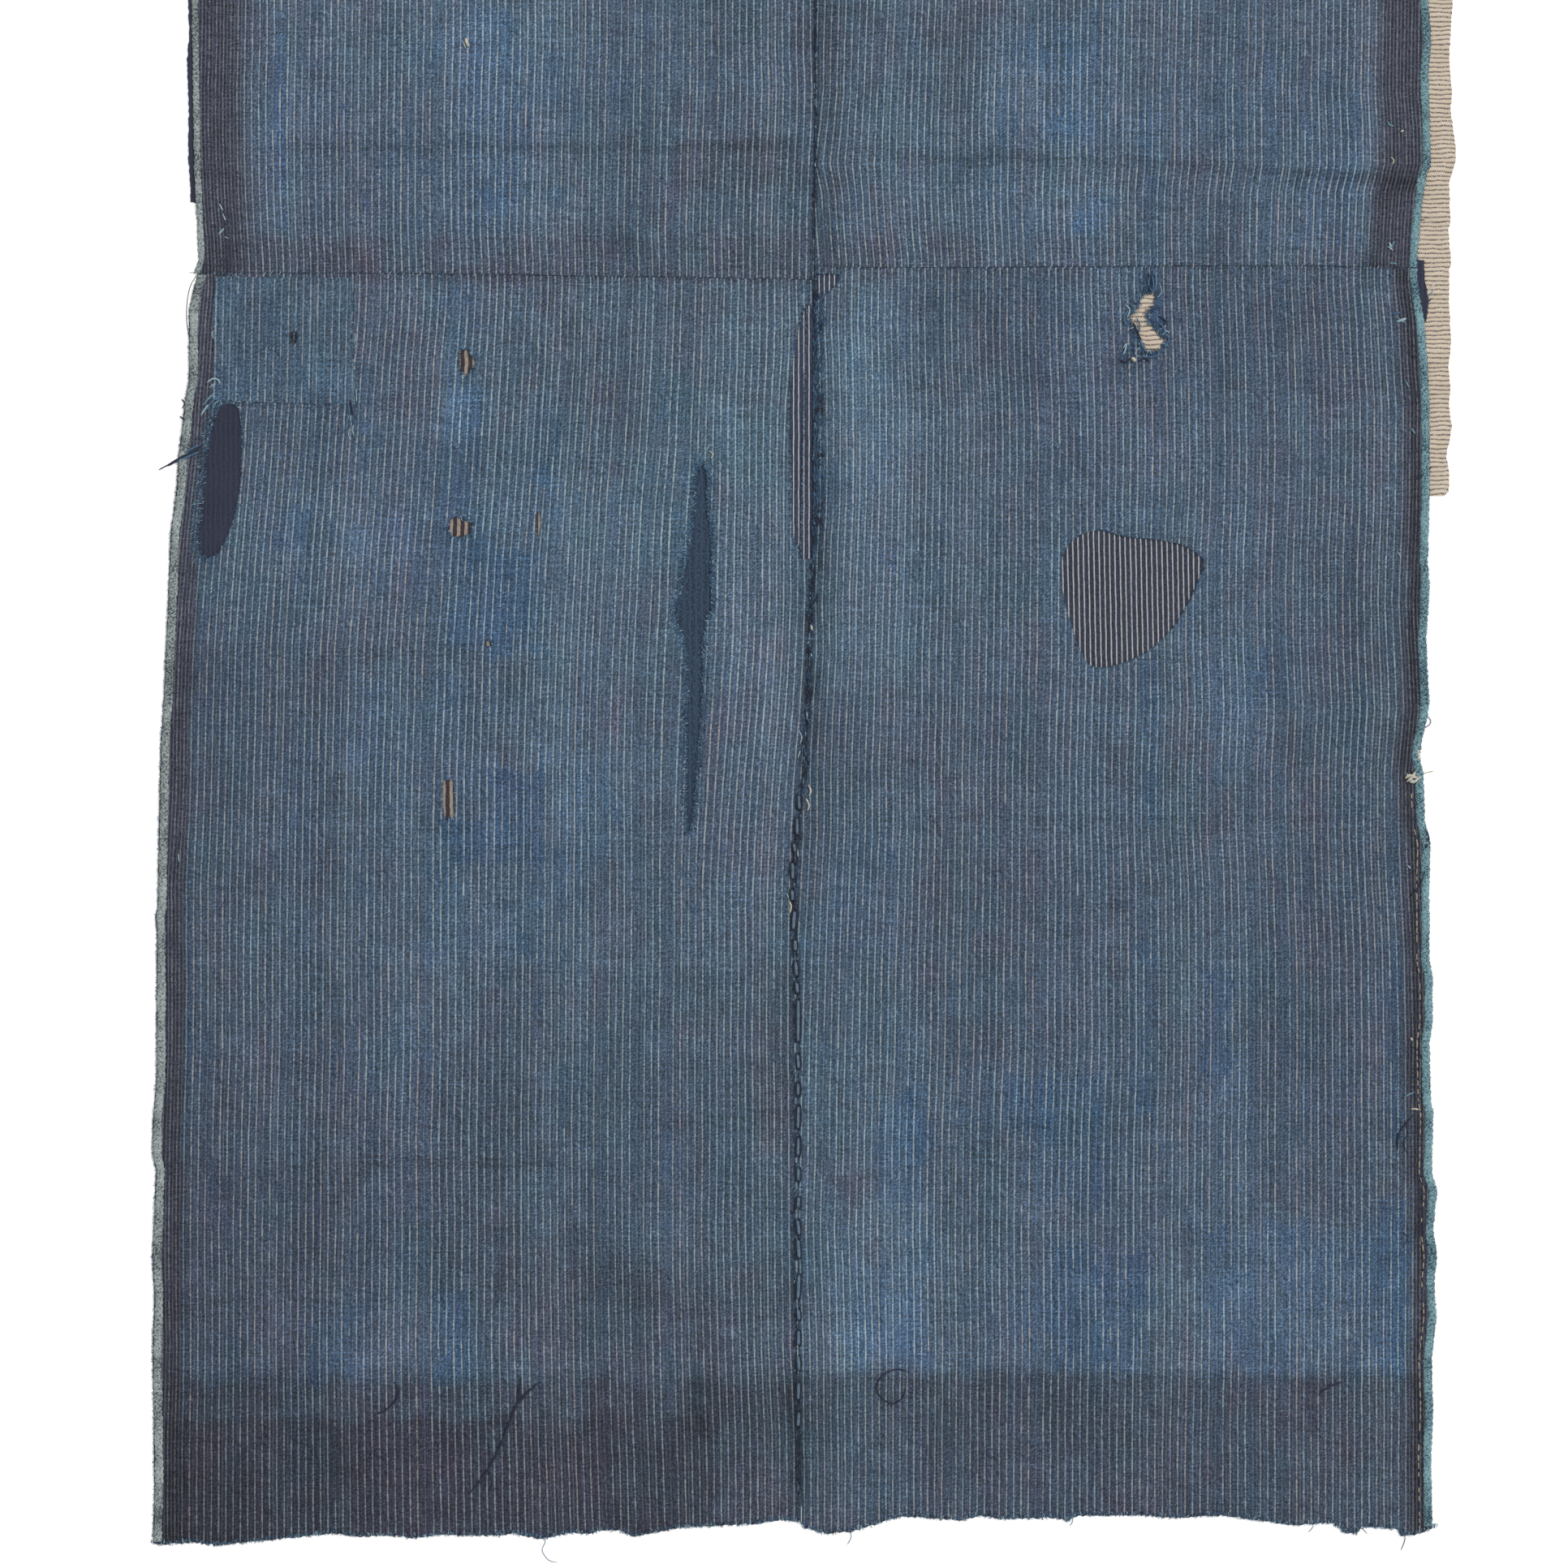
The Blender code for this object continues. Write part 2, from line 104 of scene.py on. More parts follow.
# The grain: for rows of height, where chosen stripes lie, and each such stripe's number from the left.
LOWER_MARKS = (0, 10, 20, 30, 40, 50, 60, 70, 79)
LOWER_LEFT_GRAIN = [
    (225.1, (-290.4, -255.0, -218.8, -181.1, -143.3, -106.5, -70.5, -33.8, 0.0)),
    (207.5, (-291.9, -256.2, -219.5, -182.0, -144.2, -107.2, -71.1, -34.3, 0.5)),
    (187.3, (-293.2, -257.8, -221.3, -183.8, -145.0, -107.9, -71.8, -34.5, -0.4)),
    (164.6, (-295.0, -259.4, -222.8, -184.9, -146.4, -109.3, -72.9, -35.3, -2.2)),
    (139.4, (-296.6, -261.1, -224.1, -186.4, -147.8, -111.1, -74.3, -35.5, -3.1)),
    (114.2, (-299.0, -263.0, -225.7, -188.0, -149.5, -113.0, -76.8, -35.4, -3.3)),
    (89.0, (-301.3, -265.3, -228.0, -190.0, -151.6, -114.3, -78.2, -35.9, -3.2)),
    (63.8, (-303.4, -267.0, -229.5, -191.5, -152.9, -115.7, -79.1, -36.2, -3.1)),
    (38.6, (-304.9, -268.7, -231.4, -193.4, -154.1, -116.9, -80.6, -36.8, -4.1)),
    (8.4, (-305.8, -269.0, -231.8, -193.8, -154.9, -117.8, -81.7, -38.8, -5.7)),
    (-24.4, (-306.3, -269.9, -232.9, -195.0, -156.1, -118.7, -82.1, -41.3, -8.5)),
    (-54.6, (-307.1, -270.5, -233.3, -195.6, -156.1, -118.6, -81.7, -43.6, -10.4)),
    (-82.3, (-308.2, -270.7, -233.7, -195.5, -156.4, -118.9, -81.8, -45.0, -11.3)),
    (-120.1, (-308.3, -271.2, -234.0, -195.6, -156.6, -119.2, -82.0, -44.7, -11.9)),
    (-168.0, (-308.3, -271.2, -233.7, -195.6, -157.1, -119.6, -82.6, -45.2, -12.0)),
    (-213.4, (-309.5, -272.3, -234.9, -196.8, -157.7, -120.1, -82.8, -45.0, -11.5)),
    (-263.8, (-310.0, -272.8, -234.7, -196.3, -157.4, -119.9, -83.0, -45.4, -11.3)),
    (-321.7, (-309.7, -273.2, -235.5, -196.8, -157.4, -119.2, -81.9, -44.5, -10.8)),
    (-364.6, (-310.3, -272.7, -235.2, -196.3, -156.6, -118.5, -80.8, -43.0, -9.0)),
    (-415.0, (-310.3, -272.7, -234.7, -195.7, -155.5, -116.8, -79.3, -42.6, -8.8)),
]
LOWER_RIGHT_GRAIN = [
    (227.6, (18.2, 52.4, 87.0, 123.2, 159.4, 197.5, 234.3, 270.1, 302.1)),
    (207.5, (17.7, 52.0, 86.8, 123.3, 160.1, 198.2, 235.0, 271.3, 304.1)),
    (187.3, (18.5, 52.3, 87.1, 123.9, 160.6, 198.8, 235.9, 272.1, 304.9)),
    (164.6, (18.7, 52.9, 88.0, 124.7, 161.2, 199.3, 236.2, 272.7, 306.2)),
    (139.4, (18.8, 52.8, 88.2, 125.1, 161.5, 199.5, 236.5, 272.9, 306.1)),
    (114.2, (18.6, 52.5, 87.8, 124.6, 161.0, 199.1, 236.0, 272.7, 306.0)),
    (89.0, (17.5, 52.0, 87.7, 124.7, 161.2, 197.6, 234.8, 271.5, 305.0)),
    (63.8, (16.5, 51.3, 87.2, 124.3, 160.9, 197.6, 234.5, 271.3, 304.3)),
    (38.6, (16.7, 50.4, 86.8, 124.5, 160.8, 197.5, 234.8, 271.6, 305.2)),
    (8.4, (15.3, 50.3, 86.4, 123.7, 160.3, 198.7, 235.9, 273.0, 306.6)),
    (-24.4, (14.0, 49.5, 85.5, 122.9, 159.4, 197.3, 234.6, 271.4, 304.0)),
    (-54.6, (14.1, 49.9, 85.8, 122.7, 159.4, 197.4, 234.7, 271.2, 304.2)),
    (-82.3, (12.8, 48.8, 85.3, 122.8, 160.4, 199.0, 235.9, 271.9, 305.1)),
    (-120.1, (11.3, 47.8, 84.6, 122.5, 160.1, 199.2, 236.8, 273.3, 306.8)),
    (-168.0, (10.2, 47.2, 84.1, 122.3, 160.6, 199.3, 236.8, 273.4, 307.6)),
    (-213.4, (9.5, 45.8, 82.4, 120.7, 158.9, 198.5, 236.3, 273.6, 307.5)),
    (-263.8, (8.6, 45.3, 82.0, 120.2, 158.5, 198.4, 236.5, 273.8, 307.6)),
    (-321.7, (10.3, 46.3, 82.5, 120.6, 158.6, 198.4, 236.5, 273.7, 307.5)),
    (-364.6, (10.5, 46.1, 82.2, 120.0, 158.0, 197.4, 236.0, 273.6, 307.7)),
    (-404.9, (10.8, 45.9, 82.1, 119.8, 157.9, 197.3, 236.3, 273.6, 307.6)),
]
UPPER_LEFT_MARKS = (0, 11, 22, 33, 44, 55, 66, 81)
UPPER_LEFT_GRAIN = [
    (372.1, (-299.9, -259.0, -219.0, -177.4, -135.0, -94.5, -55.1, -0.2)),
    (349.4, (-300.2, -259.3, -219.2, -177.6, -135.0, -94.6, -55.1, -0.2)),
    (329.3, (-300.7, -259.7, -219.4, -178.3, -135.8, -95.2, -55.1, 0.4)),
    (306.6, (-300.7, -259.9, -219.7, -178.7, -136.3, -95.5, -55.9, -0.2)),
    (291.5, (-300.3, -259.9, -219.7, -178.7, -136.3, -95.8, -56.4, -1.0)),
    (273.8, (-299.6, -259.9, -219.7, -178.7, -136.7, -96.3, -56.8, -1.8)),
    (256.2, (-298.5, -259.4, -219.6, -178.6, -137.2, -96.7, -57.4, -2.2)),
    (238.6, (-297.6, -258.6, -219.0, -177.9, -136.4, -96.2, -57.0, -2.3)),
]
UPPER_RIGHT_MARKS = (0, 11, 22, 33, 44, 55, 66, 83)
UPPER_RIGHT_GRAIN = [
    (373.0, (11.0, 51.1, 88.9, 128.3, 169.9, 212.2, 251.9, 314.6)),
    (350.3, (10.3, 49.7, 88.3, 128.2, 169.4, 211.8, 251.9, 314.2)),
    (327.6, (10.1, 48.9, 87.7, 128.0, 168.9, 210.9, 251.1, 313.8)),
    (307.4, (8.2, 48.1, 87.1, 127.9, 168.8, 210.9, 251.7, 315.2)),
    (289.8, (6.1, 47.8, 87.3, 127.9, 168.6, 211.1, 251.9, 315.6)),
    (274.7, (9.2, 47.9, 87.1, 127.2, 167.7, 209.2, 249.2, 311.7)),
    (257.0, (10.0, 48.9, 87.7, 127.5, 167.7, 208.8, 248.7, 310.6)),
    (239.4, (11.3, 50.6, 88.5, 128.3, 168.0, 209.0, 248.1, 309.8)),
]

# Outlines of the holes.
OVAL_HOLE = [
    (-303.4, 164.6), (-298.4, 165.9), (-293.4, 165.1), (-291.7, 159.6), (-290.8, 152.5), (-290.8, 139),
    (-291.7, 121.8), (-294.2, 107.9), (-299.2, 94.5), (-305.1, 85.7), (-310.6, 85.7), (-313.5, 89),
    (-313.1, 102.9), (-311.4, 118.4), (-309.8, 137.3), (-306.8, 152.5),
]
OVAL_MIDDLE = -300
SHIELD_HOLE = [
    (147.2, 100), (156.4, 100), (163.6, 97), (184.2, 95.3), (197.6, 92), (206.4, 86.5), (207.3, 81.5),
    (202.7, 70.6), (195.1, 55.4), (184.2, 41.6), (170.3, 33.2), (156.4, 29), (148, 29.4),
    (143.8, 34.9), (136.7, 55.4), (133.3, 70.6), (132.5, 84), (137.5, 94.5),
]
TORN_HOLE = [
    (179.6, 223.6), (182.1, 223), (181.2, 217.1), (177, 211.7), (177.9, 207.5), (182.5, 203.3),
    (186.7, 198.2), (183.8, 192.8), (177, 192.4), (172.8, 200.8), (167.8, 210), (172, 214.2),
    (173.7, 219.7), (177, 222.6),
]
CORNER_HOLE = [
    (6.5, 232.7), (18.3, 232.7), (17.8, 228.5), (14.9, 225.1), (11.5, 222.2), (9.4, 221.8),
    (6.5, 221.8),
]
SLIT = [
    (-52.7, 134), (-55.6, 129.8), (-56.1, 122.6), (-56.5, 113), (-57.8, 99.1), (-59.8, 87.8),
    (-62.8, 75.6), (-64, 64.3), (-67.4, 61.3), (-64.9, 51.7), (-61.1, 40.7), (-60.7, 28.1),
    (-59.8, 15.5), (-61.1, 1.7), (-61.1, -12.2), (-60.7, -26.5), (-61.1, -40.3), (-60.7, -50),
    (-59.4, -57.1), (-58.2, -51.2), (-56.5, -40.3), (-55.6, -26.5), (-54.4, -5.5), (-52.7, 11.3),
    (-52.3, 28.1), (-51.9, 44.9), (-50.6, 52.9), (-47.7, 61.3), (-47.7, 67.2), (-48.5, 78.1),
    (-47.7, 86.5), (-48.1, 99.1), (-49.4, 105.8), (-50.2, 117.2), (-50.2, 128.5), (-51.4, 133.1),
]
SEAM_GAP = [
    (1.1, 216.7), (-1.9, 208.7), (-4.4, 197.8), (-6.1, 184.8), (-7.3, 172.2), (-7.8, 154.6),
    (-6.9, 142.4), (-6.5, 124.7), (-6.5, 109.6), (-5.7, 96.6), (-2.7, 92), (-1.9, 85.3), (9, 85.3),
    (10.7, 122.6), (11.5, 164.6), (9.9, 198.2), (7.3, 216.7),
]
UPPER_SMALL_HOLE = [
    (-178.3, 192.8), (-174.5, 193.6), (-172, 190.7), (-169.5, 187.7), (-171.6, 183.1), (-174.9, 179.8),
    (-177.9, 183.5),
]
MIDDLE_SMALL_HOLE = [
    (-183.3, 105.4), (-180, 107.1), (-175.8, 105.4), (-171.6, 104.2), (-172.4, 98.7), (-176.6, 96.6),
    (-182.1, 97), (-184.2, 101.6),
]
NARROW_HOLE = [
    (-138, 109.6), (-136.3, 109.2), (-135.9, 103.7), (-136.7, 97.4), (-138.4, 98.3), (-138.4, 105.8),
]
LOWER_SMALL_HOLE = [
    (-186.7, -28.6), (-181.2, -29.4), (-180.8, -39.1), (-180.8, -49.1), (-183.8, -47.9),
    (-185.8, -49.1), (-187.1, -39.1),
]
PIN_HOLE = [(-164.8, 43.3), (-161.9, 42.8), (-161.5, 40.3), (-164, 39.9)]
CORNER_MEND_HOLE = [(-266.1, 202.4), (-262.3, 203.3), (-261.9, 198.2), (-264, 195.3), (-265.6, 197.8)]

# Mending cloths: outlines as left, right, bottom, top.
OVAL_PATCH = (-316, -283, 79, 170)
BROWN_STRIPE_BACKING = (-200, -131, -73, 202)
SLIT_PATCH = (-76, -37, -65, 140)
SEAM_PATCH = (-14, 23, 78, 234)
SHIELD_PATCH = (126, 215, 23, 106)
BEIGE_BACKING = (157, 331, 118, 425)
EDGE_BACKING = (-320, -290, 269, 425)
MENDS = (OVAL_PATCH, BROWN_STRIPE_BACKING, SLIT_PATCH, SEAM_PATCH, SHIELD_PATCH, BEIGE_BACKING, EDGE_BACKING)
BEIGE_EDGE = [
    (331.5, 118), (333.6, 120), (333.8, 130), (332.4, 139), (335.3, 154), (333.8, 164), (334.5, 175),
    (333.4, 185), (334.9, 197), (333.8, 217), (333.8, 235), (334.9, 238), (333.4, 255), (334.5, 260),
    (333.8, 280), (337.2, 291), (337.2, 298), (334.6, 318), (335.4, 326), (333.8, 344), (335.6, 374),
    (334.5, 425),
]
EDGE_STRIP_EDGE = [
    (-314, 269), (-317.4, 270), (-317.6, 283), (-318.4, 291), (-318.2, 318), (-319.2, 343), (-318, 356),
    (-318.6, 374), (-318.8, 425),
]
SLIVER = [
    (316.1, 240.2), (320.7, 239.8), (321.1, 229.7), (323.2, 218.4), (321.9, 208.7), (319.8, 205.8),
    (319, 212.9), (317.3, 227.6),
]
CORNER_MEND = [
    (-304.3, 231.4), (-233.7, 230.6), (-233.3, 215), (-234.6, 198.2), (-232.9, 183.5), (-233.7, 165.9),
    (-248, 165.5), (-269, 166.3), (-290, 166.7), (-306, 168), (-305.1, 189.8), (-306, 210.8),
]

# Creases: low ridges along a line, with their height, their half width and how much painted shade darkens the cloth
# along them (a negative value is a painted highlight along the ridge).
CREASES = [
    ([(-269, 299.9), (-164, 299), (-63.2, 298.6), (-38, 299.9), (0.6, 301.6)], 0.5, 3.2, 0.16),
    ([(-63.2, 298.6), (-38, 299.9), (-8.6, 301.6)], 0.8, 2.2, 0.14),
    ([(50.2, 293.6), (109, 292.7), (172, 291.1), (256, 285.6), (298, 282.2), (319.8, 278.9)], 1.3, 3.0, 0.3),
    ([(256, 285.6), (298, 282.2), (319.8, 278.9)], 0.9, 4.5, 0.12),
    ([(188.8, 248.2), (230.8, 249.1), (272.8, 248.2)], 0.6, 1.6, -0.1),
    ([(-222.8, -226.8), (-180.8, -226.4), (-130.4, -228.5), (-105.2, -231.8), (-96, -238.6)], 0.8, 2.6, 0.24),
    ([(-92.6, -234.4), (-91.3, -297.4)], 0.4, 2.4, 0.12),
    ([(-84.2, -207.5), (-38, -203.3), (-2.3, -200.8)], 0.7, 2.6, 0.2),
    ([(83.8, -46.6), (130, -48.7), (193, -47.9), (239.2, -49.1), (273.6, -47.9)], 0.9, 2.4, 0.1),
    ([(241.3, 55.4), (247.6, 21.8), (256, -11.8), (260.2, -37)], 0.7, 2.6, 0.14),
    ([(88, -207.5), (172, -206.6), (256, -204.1), (319, -206.6)], 0.5, 3.0, 0.12),
    ([(98.5, 215), (127.9, 173), (144.7, 135.2), (167.8, 89)], 0.35, 3.4, 0.12),
    ([(-105.2, 198.2), (-122, 164.6), (-130.4, 139.4)], 0.35, 3.0, 0.1),
    ([(-327.8, 40.7), (-248, 40.3), (-164, 40.7)], 0.25, 2.2, 0.12),
    ([(-329.9, -361.2), (-248, -361.2), (-164, -360.4), (-50.6, -358.3)], 0.35, 2.6, 0.1),
    ([(-329.9, -341.5), (-164, -341.9), (-4.4, -340.2)], 0.25, 2.6, 0.1),
    ([(-0.2, -337.3), (172, -337.7), (319, -338.5)], 0.3, 2.6, 0.08),
]
# Lighter and darker zones, most of them where the indigo is faded and a few of them painted crease shade: in each
# zone how much lighter (+) or darker (-), how much bluer (+) or browner (-), and how wide its edges fade, in
# millimetres.
Zone = namedtuple("Zone", "left right bottom top fade shade hue")
ZONES = [
    # Upper left panel.
    Zone(-275, -268, 255, 370, 2, 0.06, 0.9),
    Zone(-252, 0, 328, 375, 12, 0.06, 0.1),
    Zone(-177, -145, 240, 375, 6, 0, 0.5),
    Zone(-181, -147, 339, 368, 8, 0.1, 0.2),
    Zone(-141, -120, 312, 375, 5, 0, 0.4),
    Zone(-170, -156, 266, 277, 4, 0, 0.8),
    Zone(-137, -124, 266, 276, 4, 0, 0.7),
    Zone(-126, 0, 253, 297, 8, -0.07, -0.15),
    Zone(-101, -89, 236, 295, 3, -0.08, 0),
    Zone(-172, -164, 249, 280, 3, -0.1, 0),
    Zone(-319, 5, 228, 253, 4, -0.12, -0.55),
    Zone(-67, 0, 274, 307, 8, -0.04, -0.4),
    # Painted crease shade: a thin dark line along the crease at height 299.
    Zone(-269, 0, 296, 302, 2, -0.08, 0),
    # Upper right panel.
    Zone(17, 54, 307, 358, 8, 0.08, 0.1),
    Zone(66, 86, 249, 375, 4, -0.08, 0),
    Zone(92, 126, 303, 366, 6, 0.09, 0.1),
    Zone(126, 166, 303, 375, 6, 0.05, 0.3),
    Zone(105, 126, 337, 358, 5, 0, 0.5),
    Zone(133, 145, 336, 362, 4, 0, 0.7),
    Zone(126, 176, 291, 320, 6, 0, 0.5),
    Zone(138, 156, 254, 270, 5, 0, 0.9),
    Zone(174, 185, 207, 324, 3, 0, 0.6),
    Zone(252, 298, 249, 333, 8, 0, 0.4),
    Zone(8, 147, 230, 253, 4, -0.06, -0.45),
    Zone(164, 189, 230, 254, 5, -0.12, 0),
    Zone(185, 317, 230, 245, 4, -0.08, -0.2),
    # Painted crease shade at the crease's dark right end, a little browner too.
    Zone(298, 320, 270, 291, 5, -0.3, -0.2),
    Zone(6, 19, 236, 375, 3, -0.14, -0.1),
    Zone(285, 299, 227, 239, 3, -0.4, 0.4),
    # The darker band at the bottom and the middle of the lower panels.
    Zone(-340, 340, -440, -336, 4, -0.15, 0.12),
    Zone(-340, 340, -200, -66, 28, -0.05, 0),
    # Round the torn hole.
    Zone(177, 182, 223, 234, 1.3, -0.34, 0.9),
    Zone(164, 177, 186, 197, 2.6, -0.22, 0.5),
    Zone(166, 187, 190, 223, 4, -0.1, 0.6),
    # Lower left panel, first much darker where it shows through the corner mend's small rent.
    Zone(-268, -261, 193, 205, 1.6, -0.9, -0.3),
    Zone(-261, -139, 209, 230, 8, 0.08, 0),
    Zone(-189, -167, 146, 173, 6, 0.13, 0.3),
    Zone(-187, -167, 112, 230, 4, 0, 0.6),
    Zone(-231, -222, 120, 184, 3, 0, 0.5),
    Zone(-141, -128, 120, 171, 3, 0, 0.6),
    Zone(-280, -254, 89, 114, 5, 0, 0.8),
    Zone(-235, -204, 87, 114, 6, 0, 0.5),
    Zone(-240, -202, 78, 110, 8, 0.08, 0),
    Zone(-164, -135, 36, 89, 4, -0.03, 1),
    Zone(-186, -164, 39, 106, 4, 0, 0.7),
    Zone(-332, -164, -48, 40, 2, -0.12, -0.1),
    Zone(-328, -277, -48, 39, 8, -0.1, 0),
    Zone(-147, -110, -60, 11, 7, 0.08, 0),
    Zone(-46, -10, 114, 230, 6, 0.12, 0),
    Zone(-46, -10, -6, 123, 8, 0.15, -0.1),
    Zone(-187, -164, -73, -49, 4, -0.12, 1.1),
    Zone(-161, -136, -71, -24, 4, -0.04, 1.1),
    Zone(-191, -135, -71, -24, 5, -0.05, 0.3),
    Zone(-135, -95, -68, -16, 6, 0, 0.4),
    Zone(-196, -122, -123, -71, 8, 0, 0.5),
    Zone(-332, -164, -128, -85, 5, 0.07, 0),
    Zone(-214, -178, -185, -120, 8, 0.1, 0),
    Zone(-164, -82, -224, -129, 10, -0.08, 0),
    Zone(-25, -5, -224, -119, 5, 0, -0.5),
    Zone(-330, -84, -300, -228, 8, -0.1, 0),
    Zone(-231, -176, -339, -296, 6, 0.1, 0),
    Zone(-261, -225, -341, -300, 6, 0, 0.5),
    Zone(-189, -172, -339, -296, 5, 0, 0.9),
    Zone(-334, -2, -449, -342, 4, -0.22, -0.5),
    Zone(-334, -160, -449, -361, 3, -0.3, -0.6),
    Zone(-160, -46, -449, -358, 5, -0.26, -0.6),
    Zone(-46, -2, -449, -377, 6, 0.08, -0.3),
    Zone(-334, -290, -449, -381, 10, -0.2, 0),
    # Lower right panel.
    Zone(18, 57, 25, 228, 7, 0.17, 0.05),
    Zone(86, 105, 193, 224, 5, -0.1, 0),
    Zone(121, 148, 185, 203, 5, 0.08, 0),
    Zone(21, 189, -31, 39, 8, -0.06, 0),
    Zone(206, 240, -17, 35, 7, 0.12, 0.1),
    Zone(175, 182, 95, 139, 3, 0.08, 0.3),
    Zone(174, 185, -48, 36, 3, 0, 0.7),
    Zone(238, 253, 11, 49, 4, 0, 0.5),
    Zone(209, 240, -26, 41, 6, 0, 0.4),
    Zone(36, 51, 137, 209, 5, 0, 0.3),
    Zone(8, 51, -119, -60, 8, 0, 0.4),
    Zone(62, 86, -132, 7, 6, 0, -0.3),
    Zone(205, 223, -182, -127, 4, 0, 0.9),
    Zone(171, 181, -203, -115, 3, 0, 0.7),
    Zone(106, 156, -214, -183, 5, 0, 0.9),
    Zone(116, 160, -249, -213, 6, 0, 0.5),
    Zone(37, 64, -245, -190, 5, 0, 0.9),
    Zone(16, 59, -236, -203, 7, 0.1, 0),
    Zone(17, 68, -335, -243, 8, 0.2, 0.3),
    Zone(28, 62, -335, -278, 5, 0, 0.6),
    Zone(200, 227, -207, -144, 7, 0.08, 0),
    Zone(188, 232, -337, -278, 8, 0.08, 0),
    Zone(251, 278, -333, -270, 7, 0.06, 0),
    Zone(142, 160, -249, -224, 6, -0.13, 0),
    Zone(129, 177, -334, -270, 5, -0.03, 0.9),
    Zone(104, 130, -316, -291, 5, 0, 0.5),
    Zone(205, 317, -337, -258, 6, 0, 0.7),
    Zone(297, 311, -216, -110, 3, 0, 0.8),
    Zone(297, 313, -337, -245, 3, 0, 1),
    Zone(-2, 327, -449, -338, 3, -0.18, -0.4),
    Zone(21, 64, -409, -346, 8, 0.12, 0.3),
    Zone(193, 317, 104, 221, 10, -0.05, 0),
    Zone(63, 130, -174, 20, 10, -0.04, 0),
    Zone(86, 319, -222, -207, 5, -0.06, 0),
    # Broad unevenness over the whole cloth.
    Zone(-338, -231, -449, -58, 14, -0.17, 0),
    Zone(-338, -199, -339, -176, 18, -0.1, 0),
    Zone(-338, -271, -354, -289, 14, -0.2, 0),
    Zone(-271, -206, -339, -297, 14, -0.06, 0),
    Zone(-199, -2, -339, -180, 18, -0.1, 0),
    Zone(-164, -2, -356, -281, 14, -0.08, -0.3),
    Zone(-72, -2, -449, -121, 9, -0.08, 0),
    Zone(-72, -2, -381, -339, 9, -0.1, 0),
    Zone(-67, 29, 349, 375, 10, -0.12, 0),
    Zone(2, 30, 265, 375, 8, -0.11, 0),
    Zone(-1, 30, 207, 236, 8, -0.1, 0),
    Zone(-2, 30, -75, 5, 8, -0.15, 0),
    Zone(-202, -130, 257, 400, 12, 0.12, 0),
    Zone(96, 168, 244, 349, 12, 0.11, 0),
    Zone(-202, -164, 165, 230, 10, 0.08, 0),
    Zone(-296, -233, 114, 223, 12, -0.08, 0),
    Zone(-266, -198, 85, 116, 10, 0.07, 0),
    Zone(-135, -65, -45, 123, 12, 0.11, 0),
    Zone(-235, -164, -45, 32, 9, 0.13, 0.4),
    Zone(46, 134, 173, 232, 12, -0.1, 0),
    Zone(189, 317, 173, 232, 12, -0.11, 0),
    Zone(235, 318, -255, 114, 14, -0.12, 0),
    Zone(96, 273, -92, 1, 12, -0.06, 0),
    Zone(66, 101, -264, -230, 9, -0.14, 0),
    Zone(-2, 172, -381, -335, 9, -0.08, 0),
    Zone(-303, 0, 165, 230, 12, 0, -0.3),
    Zone(21, 63, -297, -230, 10, 0, -0.35),
    Zone(-313, 298, 349, 400, 12, 0, -0.2),
]

# Soft tones over the panels: place across, height, reach, shade, hue, and how much greener.
TONES = [
    (-19.1, 122.6, 71, 0, 0, 1.1), (-65.3, 177.2, 71, 0, 0, 0.5), (-122.0, 126.8, 80, 0.03, 0.1, 0.5),
    (4.0, 299.0, 101, 0, 0, 0.45), (27.1, -280.6, 55, -0.04, 0, 0.6), (-19.1, -150.4, 50, -0.05, 0.1,
    0.5), (214.0, 194.0, 71, 0, 0, -0.6), (109.0, 173.0, 55, 0, 0, -0.4), (-285.8, -297.4, 88, 0, 0,
    -0.8), (-250.1, 194.0, 42, -0.08, 0, -0.4), (256.0, -150.4, 50, -0.04, 0, -0.4), (193.0, -373.0, 84,
    -0.04, 0, -0.35), (-248.0, -213.4, 59, 0, 0, -0.3), (73.3, 311.6, 25, 0.14, 0, 0.2), (-111.5, 284.3,
    25, 0.14, 0.1, 0.2), (-290.0, 38.6, 38, -0.1, 0.3, 0), (-277.4, -28.6, 38, 0, 0.35, 0), (-168.2,
    105.8, 38, 0.02, 0.35, 0), (-164.0, -230.2, 38, -0.1, 0, 0), (73.3, -112.6, 38, -0.05, 0, 0), (172.0,
    -146.2, 50, -0.08, 0, 0), (-180.8, -188.2, 38, -0.08, 0, 0), (-111.5, -305.8, 34, -0.14, 0, 0), (27.1,
    -268.0, 29, -0.08, 0, 0), (165.7, -255.4, 34, -0.08, 0, 0), (-290.0, -70.6, 42, -0.08, 0, -0.3),
    (172.0, 72.2, 46, -0.04, 0.3, 0), (-111.5, 84.8, 25, 0.1, 0.1, 0.2), (-19.1, 299.0, 25, -0.08, 0,
    0.3), (256.0, -305.8, 34, 0, -0.4, 0), (239.2, -196.6, 38, 0, 0.3, 0), (-269.0, -381.4, 38, 0.04, 0.3,
    0),
]
# The painted shade in the middle seam's groove by height: how far from the seam's line it lies, how deep the painted
# shade is and its half width. Then how dark the cloth right of it is.
GROOVE_AT = [
    (430, 0.6), (290, 0.6), (250, -0.4), (232, -0.4), (84, 0.2), (-66, 0.8), (-96, 1.0), (-120, -0.8),
    (-150, -2.4), (-339, -2.0), (-381, -0.8), (-430, -0.2),
]
GROOVE_SHADE = [
    (430, 0.5), (290, 0.55), (250, 0.6), (84, 0.8), (13, 0.85), (-24, 0.75), (-66, 0.5), (-96, 0.34),
    (-120, 0.15), (-150, 0.3), (-300, 0.32), (-381, 0.5), (-430, 0.3),
]
GROOVE_HALF = [
    (430, 1.1), (250, 1.2), (84, 1.8), (-50, 1.8), (-80, 3.2), (-96, 3.2), (-130, 2.0), (-160, 1.0), (-330, 1.4),
    (-350, 3.0), (-430, 2.4),
]
